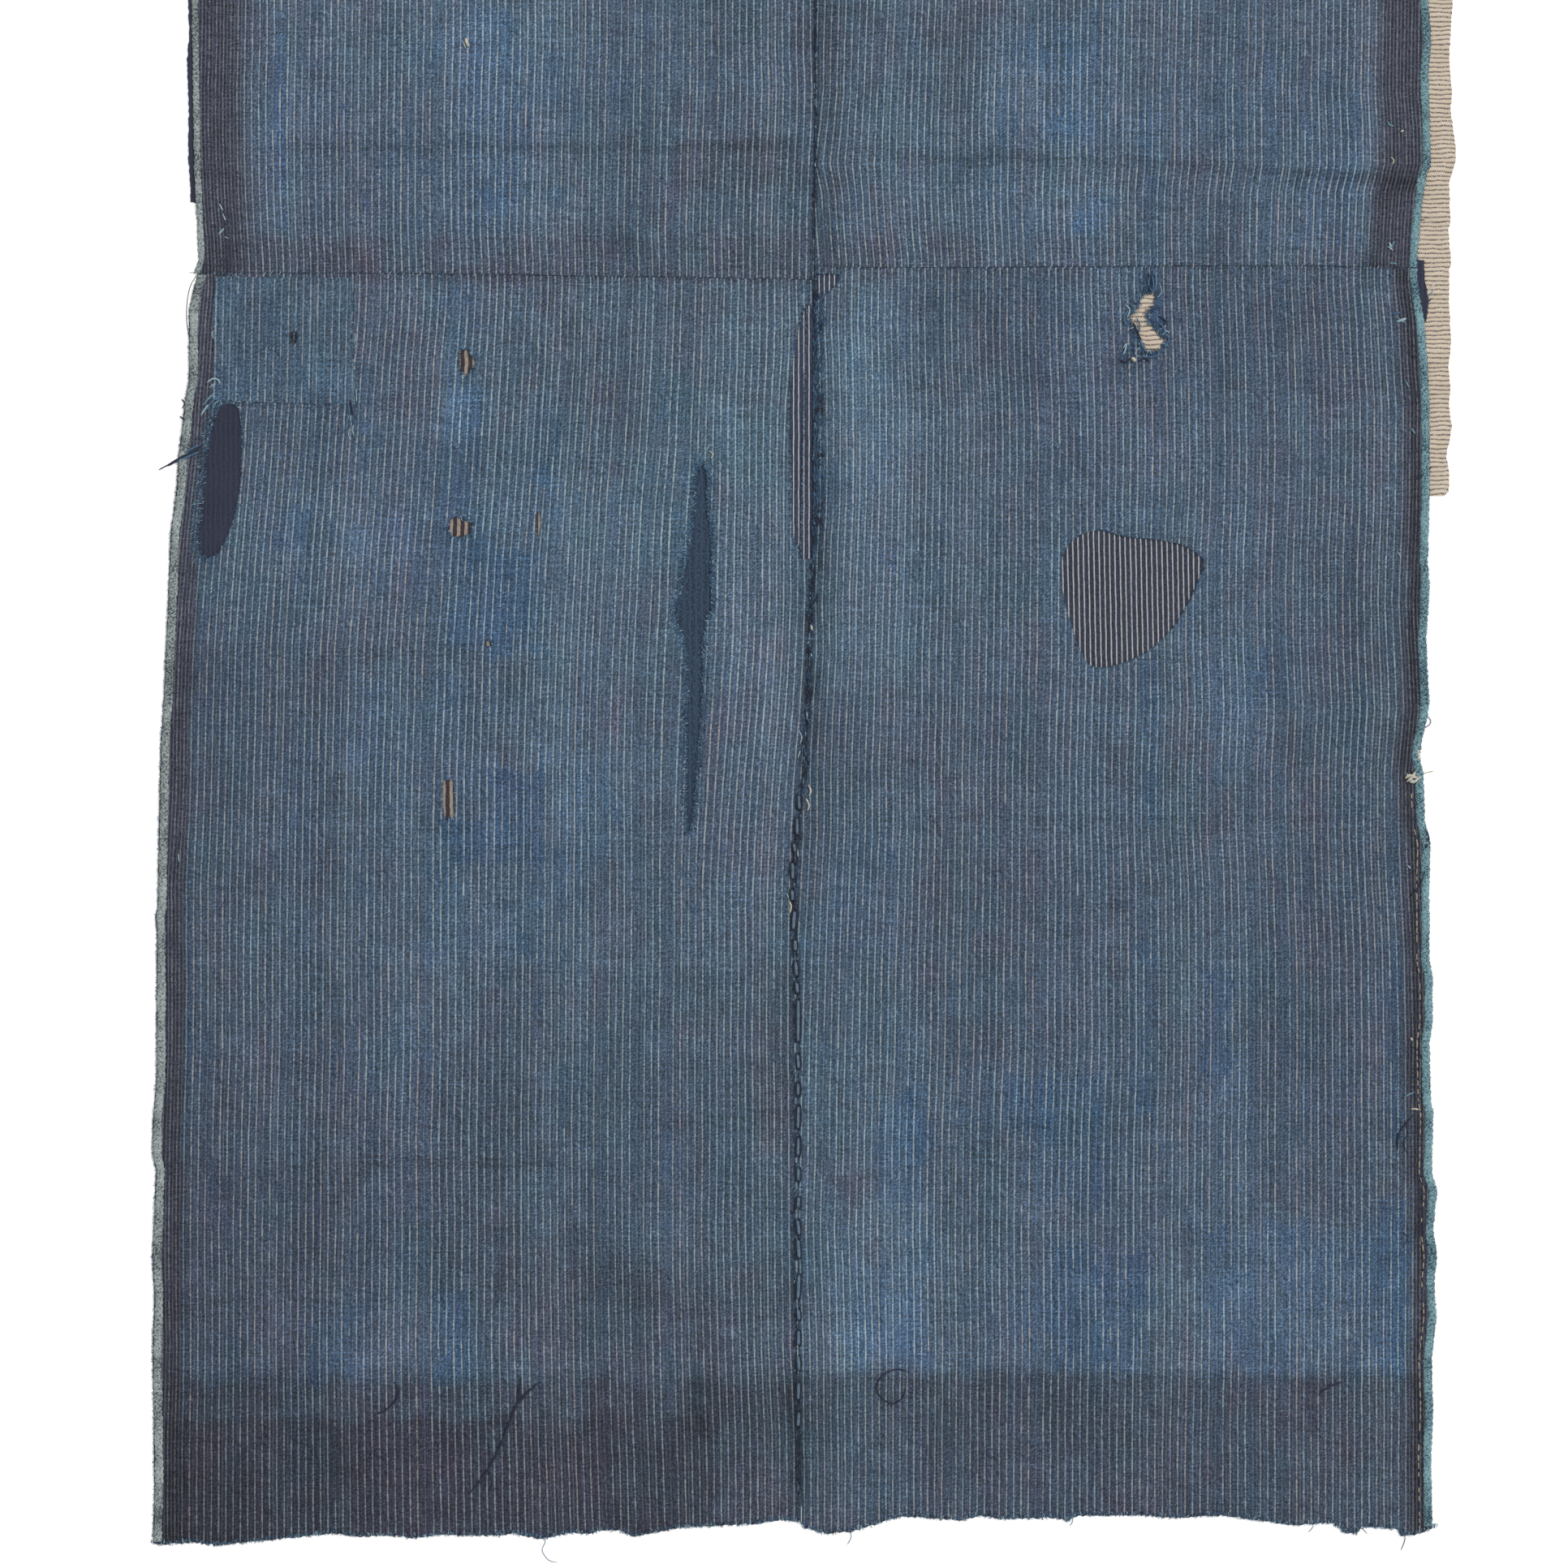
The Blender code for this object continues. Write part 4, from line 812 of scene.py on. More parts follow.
def closed_sheet(name, corners, triangles, low, thickness, cloth_map, extras, material):
    """A closed sheet from flat triangles: its two sides, and a wall round every edge."""
    count = len(corners)
    low_z = low
    top = np.column_stack([corners, low_z + thickness])
    bottom = np.column_stack([corners, low_z])
    pairs = np.concatenate([triangles[:, [0, 1]], triangles[:, [1, 2]], triangles[:, [2, 0]]])
    keys = np.sort(pairs, axis=1)
    _, first, times = np.unique(keys, axis=0, return_index=True, return_counts=True)
    rim = pairs[first[times == 1]]
    walls = np.column_stack([rim[:, 1], rim[:, 0], rim[:, 0] + count, rim[:, 1] + count])
    loops = np.concatenate([triangles.ravel(), (triangles[:, ::-1] + count).ravel(), walls.ravel()])
    starts = np.concatenate([
        np.arange(0, 6 * len(triangles), 3), 6 * len(triangles) + np.arange(0, 4 * len(walls), 4)
    ])
    mesh = bpy.data.meshes.new(name)
    mesh.vertices.add(2 * count)
    mesh.vertices.foreach_set("co", (np.concatenate([top, bottom]) * MM).ravel())
    mesh.loops.add(len(loops))
    mesh.loops.foreach_set("vertex_index", loops.astype(np.int32))
    mesh.polygons.add(len(starts))
    mesh.polygons.foreach_set("loop_start", starts.astype(np.int32))
    mesh.update(calc_edges=True)
    flat = mesh.uv_layers.new(name="cloth")
    both = np.concatenate([cloth_map, cloth_map]) * MM
    flat.data.foreach_set("uv", both[loops].ravel())
    for label, values in extras.items():
        layer = mesh.attributes.new(label, "FLOAT", "POINT")
        layer.data.foreach_set("value", np.concatenate([values, values]).astype(np.float32))
    mesh.validate()
    mesh.shade_smooth()
    mesh.set_sharp_from_angle(angle=math.radians(50))
    made = bpy.data.objects.new(name, mesh)
    mesh.materials.append(material)
    bpy.context.scene.collection.objects.link(made)
    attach(made, "root")
    return made


def cut_out(outline, holes, grid, keep_off):
    """Flat triangles that fill an outline but for its holes, with the grid's points between them."""
    loops = [outline] + holes
    edges, points = [], []
    for loop in loops:
        start = len(points)
        points += loop
        edges += [(start + k, start + (k + 1) % len(loop)) for k in range(len(loop))]
    tree = kdtree.KDTree(len(points))
    for k, (x, y) in enumerate(points):
        tree.insert((x, y, 0), k)
    tree.balance()
    x, y = grid[:, 0], grid[:, 1]
    wanted = inside(x, y, outline)
    for hole in holes:
        wanted &= ~inside(x, y, hole)
    for px_, py_ in grid[wanted]:
        if tree.find((px_, py_, 0))[2] > keep_off:
            points.append((px_, py_))
    spots, _, faces, _, _, _ = delaunay_2d_cdt([Vector(p) for p in points], edges, [], 0, 1e-4)
    corners = np.array([tuple(s) for s in spots])
    triangles = np.array([f for f in faces if len(f) == 3])
    middle = corners[triangles].mean(axis=1)
    kept = inside(middle[:, 0], middle[:, 1], outline)
    for hole in holes:
        kept &= ~inside(middle[:, 0], middle[:, 1], hole)
    triangles = triangles[kept]
    used, where = np.unique(triangles, return_inverse=True)
    return corners[used], where.reshape(-1, 3)


def panel_grid(half, low, high, step):
    """Rows of points that follow both sides of a panel, closer together beside the middle seam."""
    rows = []
    width = 330.0
    shares = list(np.arange(0.5 * step / width, 1 - 16 / width, step / width))
    shares += list(np.arange(1 - 16 / width, 1, 1.3 / width))
    if half == "right":
        shares = [1 - s for s in shares]
    shares = np.array(shares)
    for k, y in enumerate(np.arange(low, high, step)):
        middle = between(MIDDLE_SEAM, y)
        left = between(LEFT_EDGE, y) if half == "left" else middle
        right = middle if half == "left" else between(RIGHT_EDGE, y)
        rows.append(np.column_stack([left + (right - left) * shares, np.full(len(shares), y)]))
    return np.concatenate(rows)


def side(rows, low, high, rough, seed):
    """Points down one side of a panel, from high to low."""
    heights = np.arange(high - 0.9, low + 0.8, -1.6)
    push = rough * np.random.default_rng(seed).uniform(-1, 1, len(heights))
    return list(zip((between(rows, heights) + push).tolist(), heights.tolist()))


def across(line, left_rows, right_rows):
    """The part of a line across the cloth that lies between two sides, with its ends on them."""
    made = []
    for rows, end in ((left_rows, 0), (right_rows, -1)):
        y = line[end][1]
        for _ in range(3):
            y = float(between(line, float(between(rows, y))))
        made.append((float(between(rows, y)), y))
    inner = [p for p in line if made[0][0] + 0.5 < p[0] < made[1][0] - 0.5]
    return [made[0]] + inner + [made[1]]


def panel(name, node, half, level, holes, grain, marks, material):
    """One width of striped cotton with its holes cut out."""
    left_rows = LEFT_EDGE if half == "left" else [(y, x + 0.1) for y, x in MIDDLE_SEAM]
    right_rows = RIGHT_EDGE if half == "right" else [(y, x - 0.1) for y, x in MIDDLE_SEAM]
    seam = LEFT_SEAM if half == "left" else RIGHT_SEAM
    seed = len(name) * 31 + len(holes)
    if level == "upper":
        top_line = across([(-400, TOP), (400, TOP)], left_rows, right_rows)
        bottom_line = across([(x, y + 0.1) for x, y in seam], left_rows, right_rows)
        torn = 0.08
    else:
        top_line = across([(x, y - 0.1) for x, y in seam], left_rows, right_rows)
        bottom_line = across(TORN_EDGE, left_rows, right_rows)
        torn = 0.5
    outline = fine(bottom_line, 1.0, torn, seed, closed=False)
    outline += side(right_rows, bottom_line[-1][1], top_line[-1][1], 0.15, seed + 1)[::-1]
    outline += fine(top_line, 2.0, 0.08, seed + 2, closed=False)[::-1]
    outline += side(left_rows, bottom_line[0][1], top_line[0][1], 0.15, seed + 3)
    grid = panel_grid(half, bottom_line[0][1] - 12, top_line[0][1] + 8, 2.5)
    corners, triangles = cut_out(outline, holes, grid, 0.9)
    x, y = corners[:, 0], corners[:, 1]
    number = stripe_number(x, y, grain, marks)
    shade, hue, border, tint = fading(x, y)
    wander = 0.16 * ripple(x, y, 16, 63, 2) + 0.08 * ripple(x, y, 6, 64, 2)
    cloth_map = np.column_stack([number * STRIPE_PITCH + wander, y])
    extras = {"shade": shade, "hue": hue, "border": border, "tint": tint}
    made = closed_sheet(name, corners, triangles, under_height(x, y), CLOTH, cloth_map, extras, material)
    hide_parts(node)
    return made


def box_outline(mend, rough, seed):
    """A mending cloth's straight-cut outline."""
    left, right, bottom, top = mend
    return fine([(left, bottom), (right, bottom), (right, top), (left, top)], 1.6, rough, seed)


def mend_cloth(name, node, outline, holes, height, slope, step, material, shades=None):
    """A mending cloth: on the ground under a panel, or sewn on its face, at the given height."""
    x0, y0 = np.min(outline, axis=0)
    x1, y1 = np.max(outline, axis=0)
    across_, along = np.meshgrid(np.arange(x0, x1, step), np.arange(y0, y1, step))
    corners, triangles = cut_out(outline, holes, np.column_stack([across_.ravel(), along.ravel()]), step * 0.4)
    x, y = corners[:, 0], corners[:, 1]
    extras = shades(x, y) if shades else {"shade": 0.1 * ripple(x, y, 14, 61)}
    cloth_map = np.column_stack([x + slope * y, y])
    made = closed_sheet(name, corners, triangles, height(x, y), CLOTH, cloth_map, extras, material)
    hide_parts(node)
    return made


def on_ground(x, y):
    """The underside of a mending cloth that lies on the ground."""
    return GROUND + 0.16 + 0.14 * ripple(x, y, 16, 71) + 0.04 * ripple(x, y, 5, 72)


def on_panel(x, y):
    """The underside of a cloth that is sewn on a panel's face."""
    return under_height(x, y) + CLOTH + 0.12 + 0.05 * ripple(x, y, 7, 73)


def linear(code):
    """A colour from its sRGB hex."""
    parts = [int(code[k:k + 2], 16) / 255 for k in (1, 3, 5)]
    return tuple(p / 12.92 if p <= 0.04045 else ((p + 0.055) / 1.055) ** 2.4 for p in parts) + (1.0,)


def add(tree, kind, inputs=None, out=0, **settings):
    """Adds a shader node with its settings and links, and gives one of its outputs."""
    node = tree.nodes.new(kind)
    for name, value in settings.items():
        setattr(node, name, value)
    for key, value in (inputs or {}).items():
        if isinstance(value, bpy.types.NodeSocket):
            tree.links.new(value, node.inputs[key])
        else:
            node.inputs[key].default_value = value
    return node.outputs[out]


def new_material(name, rough=0.93, specular=0.18, sheen=0.06):
    """A matt material and its shader."""
    material = bpy.data.materials.new(name)
    material.use_nodes = True
    shader = material.node_tree.nodes["Principled BSDF"]
    shader.inputs["Roughness"].default_value = rough
    shader.inputs["Specular IOR Level"].default_value = specular
    shader.inputs["Sheen Weight"].default_value = sheen
    shader.inputs["Sheen Roughness"].default_value = 0.6
    return material, shader


MUL, ADD, SUB = "MULTIPLY", "ADD", "SUBTRACT"


def striped_cotton(name, ground, blue, brown, pale, dull, warm="#ADA6A4"):
    """Indigo plain weave with one pale warp thread in eight."""
    # Worn hand-woven cotton: every thread a little lighter or darker than the next, pale warp
    # threads that break off, and fine slanting flecks where the face has rubbed.
    material, shader = new_material(name)
    tree = material.node_tree
    place = add(tree, "ShaderNodeUVMap", uv_map="cloth")
    place = add(tree, "ShaderNodeVectorMath", {0: place, 3: 1000.0}, operation="SCALE")
    u = add(tree, "ShaderNodeSeparateXYZ", {0: place})
    v = u.node.outputs[1]
    flat = add(tree, "ShaderNodeCombineXYZ", {0: u, 1: v})
    shade = add(tree, "ShaderNodeAttribute", attribute_name="shade", out=2)
    hue = add(tree, "ShaderNodeAttribute", attribute_name="hue", out=2)
    border = add(tree, "ShaderNodeAttribute", attribute_name="border", out=2)
    tint = add(tree, "ShaderNodeAttribute", attribute_name="tint", out=2)

    # The stripe: how far a place is from the middle of the nearest pale thread.
    s = add(tree, "ShaderNodeMath", {0: u, 1: STRIPE_PITCH}, operation="DIVIDE")
    i = add(tree, "ShaderNodeMath", {0: s}, operation="ROUND")
    own = add(tree, "ShaderNodeTexWhiteNoise", {"W": i}, noise_dimensions="1D")
    odd = add(tree, "ShaderNodeMath", {0: i, 1: 37.31}, operation=ADD)
    odd = add(tree, "ShaderNodeTexWhiteNoise", {"W": odd}, noise_dimensions="1D")
    along = add(tree, "ShaderNodeMath", {0: v, 1: 0.11}, operation=MUL)
    line_place = add(tree, "ShaderNodeMath", {0: i, 1: 7.3}, operation=MUL)
    line_place = add(tree, "ShaderNodeCombineXYZ", {0: line_place, 1: along})
    drift = add(tree, "ShaderNodeTexNoise", {0: line_place, "Scale": 1.0, "Detail": 1.0}, noise_dimensions="2D")
    d = add(tree, "ShaderNodeMath", {0: s, 1: i}, operation=SUB)
    d = add(tree, "ShaderNodeMath", {0: d, 1: STRIPE_PITCH}, operation=MUL)
    sway = add(tree, "ShaderNodeMath", {0: drift, 1: 0.5}, operation=SUB)
    d = add(tree, "ShaderNodeMath", {0: sway, 1: 0.4, 2: d}, operation="MULTIPLY_ADD")
    away = add(tree, "ShaderNodeMath", {0: d}, operation="ABSOLUTE")
    slub_along = add(tree, "ShaderNodeMath", {0: v, 1: 0.95}, operation=MUL)
    slub_place = add(tree, "ShaderNodeMath", {0: i, 1: 3.7}, operation=MUL)
    slub_place = add(tree, "ShaderNodeCombineXYZ", {0: slub_place, 1: slub_along})
    slub = add(tree, "ShaderNodeTexNoise", {0: slub_place, "Scale": 1.0, "Detail": 2.0}, noise_dimensions="2D")
    half = add(tree, "ShaderNodeMapRange", {0: slub, 1: 0.3, 2: 0.7, 3: 0.04, 4: 0.3})
    outer = add(tree, "ShaderNodeMath", {0: half, 1: 0.27}, operation=ADD)
    line = add(tree, "ShaderNodeMapRange", {0: away, 1: half, 2: outer, 3: 1.0, 4: 0.0}, interpolation_type="SMOOTHSTEP")
    # A thin line runs between each two pale threads: clear in the borders, faint or missing elsewhere.
    mid = add(tree, "ShaderNodeMath", {0: away, 1: STRIPE_PITCH / 2}, operation=SUB)
    mid = add(tree, "ShaderNodeMath", {0: mid}, operation="ABSOLUTE")
    mid = add(tree, "ShaderNodeMapRange", {0: mid, 1: 0.04, 2: 0.36, 3: 0.85, 4: 0.0})
    gap_number = add(tree, "ShaderNodeMath", {0: s}, operation="FLOOR")
    faintly = add(tree, "ShaderNodeMath", {0: gap_number, 1: 11.7}, operation=ADD)
    faintly = add(tree, "ShaderNodeTexWhiteNoise", {"W": faintly}, noise_dimensions="1D")
    faintly = add(tree, "ShaderNodeMapRange", {0: faintly, 1: 0.35, 2: 1.0, 3: 0.0, 4: 0.42})
    faintly = add(tree, "ShaderNodeMath", {0: faintly, 1: border}, operation="MAXIMUM")
    mid = add(tree, "ShaderNodeMath", {0: mid, 1: faintly}, operation=MUL)
    line = add(tree, "ShaderNodeMath", {0: line, 1: mid}, operation="MAXIMUM")
    strength = add(tree, "ShaderNodeMapRange", {0: own, 1: 0.0, 2: 1.0, 3: 0.8, 4: 1.1})
    worn = add(tree, "ShaderNodeMapRange", {0: drift, 1: 0.32, 2: 0.62, 3: 0.6, 4: 1.08})
    strength = add(tree, "ShaderNodeMath", {0: strength, 1: worn}, operation=MUL)
    lumpy = add(tree, "ShaderNodeMapRange", {0: slub, 1: 0.3, 2: 0.7, 3: 0.5, 4: 1.3})
    strength = add(tree, "ShaderNodeMath", {0: strength, 1: lumpy}, operation=MUL)
    # Lengths where the pale thread is worn away or was never there.
    length = add(tree, "ShaderNodeMath", {0: v, 1: 0.026}, operation=MUL)
    shift = add(tree, "ShaderNodeMath", {0: own, 1: 19.0, 2: length}, operation="MULTIPLY_ADD")
    piece = add(tree, "ShaderNodeMath", {0: shift}, operation="FLOOR")
    piece = add(tree, "ShaderNodeCombineXYZ", {0: i, 1: piece})
    gone = add(tree, "ShaderNodeTexWhiteNoise", {"Vector": piece}, noise_dimensions="2D")
    limit = add(tree, "ShaderNodeMapRange", {0: hue, 1: 0.0, 2: 1.1, 3: 0.02, 4: 0.26})
    gone = add(tree, "ShaderNodeMath", {0: gone, 1: limit}, operation="LESS_THAN")
    faint = add(tree, "ShaderNodeMath", {0: odd, 1: 0.04}, operation="LESS_THAN")
    gone = add(tree, "ShaderNodeMath", {0: gone, 1: faint}, operation="MAXIMUM")
    gone = add(tree, "ShaderNodeMapRange", {0: gone, 3: 1.0, 4: 0.28})
    strength = add(tree, "ShaderNodeMath", {0: strength, 1: gone}, operation=MUL)
    line = add(tree, "ShaderNodeMath", {0: line, 1: strength}, operation=MUL, use_clamp=True)

    # The ground: bluer or browner, then lighter or darker thread by thread.
    bluer = add(tree, "ShaderNodeMath", {0: hue, 1: 0.85}, operation=MUL, use_clamp=True)
    browner = add(tree, "ShaderNodeMath", {0: hue, 1: -1.0}, operation=MUL, use_clamp=True)
    base = add(tree, "ShaderNodeMix", {0: bluer, 6: linear(ground), 7: linear(blue)}, 2, data_type="RGBA")
    base = add(tree, "ShaderNodeMix", {0: browner, 6: base, 7: linear(brown)}, 2, data_type="RGBA")
    # Greener in some places, more violet in others.
    cast = add(tree, "ShaderNodeVectorMath", {0: (-0.08, 0.02, -0.02), 3: tint}, operation="SCALE")
    cast = add(tree, "ShaderNodeVectorMath", {0: cast, 1: (1.0, 1.0, 1.0)}, operation=ADD)
    base = add(tree, "ShaderNodeVectorMath", {0: base, 1: cast}, operation=MUL)
    warp = add(tree, "ShaderNodeMath", {0: u, 1: THREAD}, operation="DIVIDE")
    warp_number = add(tree, "ShaderNodeMath", {0: warp}, operation="FLOOR")
    weft = add(tree, "ShaderNodeMath", {0: v, 1: WEFT}, operation="DIVIDE")
    weft_number = add(tree, "ShaderNodeMath", {0: weft}, operation="FLOOR")
    warp_tone = add(tree, "ShaderNodeTexWhiteNoise", {"W": warp_number}, noise_dimensions="1D")
    weft_tone = add(tree, "ShaderNodeTexWhiteNoise", {"W": weft_number}, noise_dimensions="1D")
    cell = add(tree, "ShaderNodeCombineXYZ", {0: warp_number, 1: weft_number})
    cell = add(tree, "ShaderNodeTexWhiteNoise", {"Vector": cell}, noise_dimensions="2D")
    turned = add(tree, "ShaderNodeVectorRotate", {0: flat, "Angle": math.radians(52)}, rotation_type="Z_AXIS")
    drawn = add(tree, "ShaderNodeVectorMath", {0: turned, 1: (1.0, 0.34, 1.0)}, operation=MUL)
    fleck = add(tree, "ShaderNodeTexNoise", {0: drawn, "Scale": 1.7, "Detail": 2.0}, noise_dimensions="2D")
    strand = add(tree, "ShaderNodeVectorMath", {0: flat, 1: (1.6, 0.07, 1.0)}, operation=MUL)
    strand = add(tree, "ShaderNodeTexNoise", {0: strand, "Scale": 1.0, "Detail": 1.0}, noise_dimensions="2D")
    bar = add(tree, "ShaderNodeVectorMath", {0: flat, 1: (0.05, 1.4, 1.0)}, operation=MUL)
    bar = add(tree, "ShaderNodeTexNoise", {0: bar, "Scale": 1.0, "Detail": 1.0}, noise_dimensions="2D")
    # Here and there a length of weft is paler than the rest.
    reach = add(tree, "ShaderNodeMath", {0: u, 1: 0.055}, operation=MUL)
    reach = add(tree, "ShaderNodeMath", {0: weft_tone, 1: 9.0, 2: reach}, operation="MULTIPLY_ADD")
    reach = add(tree, "ShaderNodeMath", {0: reach}, operation="FLOOR")
    streak = add(tree, "ShaderNodeCombineXYZ", {0: reach, 1: weft_number})
    streak = add(tree, "ShaderNodeTexWhiteNoise", {"Vector": streak}, noise_dimensions="2D")
    streak = add(tree, "ShaderNodeMapRange", {0: streak, 1: 0.955, 2: 1.0, 3: 0.0, 4: 0.28})
    beside = add(tree, "ShaderNodeMath", {0: d, 1: 0.85}, operation=SUB)
    beside = add(tree, "ShaderNodeMath", {0: beside}, operation="ABSOLUTE")
    beside = add(tree, "ShaderNodeMapRange", {0: beside, 1: 0.1, 2: 0.45, 3: -0.2, 4: 0.0})
    tone = add(tree, "ShaderNodeMath", {0: shade, 1: beside}, operation=ADD)
    tone = add(tree, "ShaderNodeMath", {0: tone, 1: streak}, operation=ADD)
    for field, amount in (
        (warp_tone, 0.22), (weft_tone, 0.14), (cell, 0.42), (fleck, 3.4), (strand, 1.0), (bar, 0.8),
    ):
        centred = add(tree, "ShaderNodeMath", {0: field, 1: 0.5}, operation=SUB)
        tone = add(tree, "ShaderNodeMath", {0: centred, 1: amount, 2: tone}, operation="MULTIPLY_ADD")
    factor = add(tree, "ShaderNodeMath", {0: tone}, operation="EXPONENT")
    base = add(tree, "ShaderNodeVectorMath", {0: base, 3: factor}, operation="SCALE")
    warmth = add(tree, "ShaderNodeMath", {0: tint, 1: -0.45, 2: odd}, operation="MULTIPLY_ADD")
    warmth = add(tree, "ShaderNodeMapRange", {0: warmth, 1: 0.4, 2: 1.4, 3: 0.0, 4: 0.9})
    thread = add(tree, "ShaderNodeMix", {0: warmth, 6: linear(pale), 7: linear(warm)}, 2, data_type="RGBA")
    thread = add(tree, "ShaderNodeMix", {0: border, 6: thread, 7: linear(dull)}, 2, data_type="RGBA")
    line_tone = add(tree, "ShaderNodeMath", {0: shade, 1: 0.65}, operation=MUL)
    line_tone = add(tree, "ShaderNodeMath", {0: line_tone}, operation="EXPONENT")
    thread = add(tree, "ShaderNodeVectorMath", {0: thread, 3: line_tone}, operation="SCALE")
    colour = add(tree, "ShaderNodeMix", {0: line, 6: base, 7: thread}, 2, data_type="RGBA")
    tree.links.new(colour, shader.inputs["Base Color"])

    # The threads of the weave stand up a little.
    over = add(tree, "ShaderNodeMath", {0: warp, 1: 2 * math.pi}, operation=MUL)
    over = add(tree, "ShaderNodeMath", {0: over}, operation="SINE")
    under = add(tree, "ShaderNodeMath", {0: weft, 1: 2 * math.pi}, operation=MUL)
    under = add(tree, "ShaderNodeMath", {0: under}, operation="SINE")
    height = add(tree, "ShaderNodeMath", {0: over, 1: under}, operation=MUL)
    bump = add(tree, "ShaderNodeBump", {"Strength": 0.3, "Distance": 0.0001, "Height": height})
    tree.links.new(bump, shader.inputs["Normal"])
    return material


def patch_cotton(name, ground, line, pitch, half_line, edge=0.3, bend=1.4, rib=0.0, grain=1.0):
    """A mending cotton: its ground colour, with stripes of a second colour and cross ribs if given."""
    # Plain woven cotton, less worn than the panels, so its threads and stripes stay clearer.
    material, shader = new_material(name)
    tree = material.node_tree
    place = add(tree, "ShaderNodeUVMap", uv_map="cloth")
    place = add(tree, "ShaderNodeVectorMath", {0: place, 3: 1000.0}, operation="SCALE")
    u = add(tree, "ShaderNodeSeparateXYZ", {0: place})
    v = u.node.outputs[1]
    flat = add(tree, "ShaderNodeCombineXYZ", {0: u, 1: v})
    shade = add(tree, "ShaderNodeAttribute", attribute_name="shade", out=2)
    slow = add(tree, "ShaderNodeTexNoise", {0: flat, "Scale": 0.12, "Detail": 2.0}, noise_dimensions="2D")
    slow = add(tree, "ShaderNodeMath", {0: slow, 1: 0.5}, operation=SUB)
    u_bent = add(tree, "ShaderNodeMath", {0: slow, 1: bend, 2: u}, operation="MULTIPLY_ADD")
    s = add(tree, "ShaderNodeMath", {0: u_bent, 1: pitch}, operation="DIVIDE")
    i = add(tree, "ShaderNodeMath", {0: s}, operation="ROUND")
    d = add(tree, "ShaderNodeMath", {0: s, 1: i}, operation=SUB)
    d = add(tree, "ShaderNodeMath", {0: d, 1: pitch}, operation=MUL)
    away = add(tree, "ShaderNodeMath", {0: d}, operation="ABSOLUTE")
    stripe = add(
        tree, "ShaderNodeMapRange", {0: away, 1: half_line, 2: half_line + edge, 3: 1.0, 4: 0.0},
        interpolation_type="SMOOTHSTEP",
    )
    worn = add(tree, "ShaderNodeTexNoise", {0: flat, "Scale": 0.5, "Detail": 3.0}, noise_dimensions="2D")
    wear = add(tree, "ShaderNodeMapRange", {0: worn, 1: 0.3, 2: 0.55, 3: 0.65, 4: 1.0})
    stripe = add(tree, "ShaderNodeMath", {0: stripe, 1: wear}, operation=MUL)
    warp = add(tree, "ShaderNodeMath", {0: u, 1: THREAD}, operation="DIVIDE")
    warp = add(tree, "ShaderNodeMath", {0: warp}, operation="FLOOR")
    weft = add(tree, "ShaderNodeMath", {0: v, 1: WEFT}, operation="DIVIDE")
    weft = add(tree, "ShaderNodeMath", {0: weft}, operation="FLOOR")
    cell = add(tree, "ShaderNodeCombineXYZ", {0: warp, 1: weft})
    cell = add(tree, "ShaderNodeTexWhiteNoise", {"Vector": cell}, noise_dimensions="2D")
    warp_tone = add(tree, "ShaderNodeTexWhiteNoise", {"W": warp}, noise_dimensions="1D")
    fleck = add(tree, "ShaderNodeTexNoise", {0: flat, "Scale": 0.8, "Detail": 2.0}, noise_dimensions="2D")
    ribs = add(tree, "ShaderNodeMath", {0: v, 1: 2 * math.pi / 2.35}, operation=MUL)
    sway = add(tree, "ShaderNodeMath", {0: worn, 1: 2.2, 2: ribs}, operation="MULTIPLY_ADD")
    ribs = add(tree, "ShaderNodeMath", {0: sway}, operation="SINE")
    tone = add(tree, "ShaderNodeMath", {0: ribs, 1: rib, 2: shade}, operation="MULTIPLY_ADD")
    for field, amount in ((warp_tone, 0.16 * grain), (cell, 0.3 * grain), (fleck, 1.3 * grain)):
        centred = add(tree, "ShaderNodeMath", {0: field, 1: 0.5}, operation=SUB)
        tone = add(tree, "ShaderNodeMath", {0: centred, 1: amount, 2: tone}, operation="MULTIPLY_ADD")
    factor = add(tree, "ShaderNodeMath", {0: tone}, operation="EXPONENT")
    base = add(tree, "ShaderNodeVectorMath", {0: linear(ground)[:3], 3: factor}, operation="SCALE")
    colour = add(tree, "ShaderNodeMix", {0: stripe, 6: base, 7: linear(line)}, 2, data_type="RGBA")
    tree.links.new(colour, shader.inputs["Base Color"])
    height = add(tree, "ShaderNodeMath", {0: ribs, 1: rib * 2, 2: fleck}, operation="MULTIPLY_ADD")
    bump = add(tree, "ShaderNodeBump", {"Strength": 0.4, "Distance": 0.0003, "Height": height})
    tree.links.new(bump, shader.inputs["Normal"])
    return material


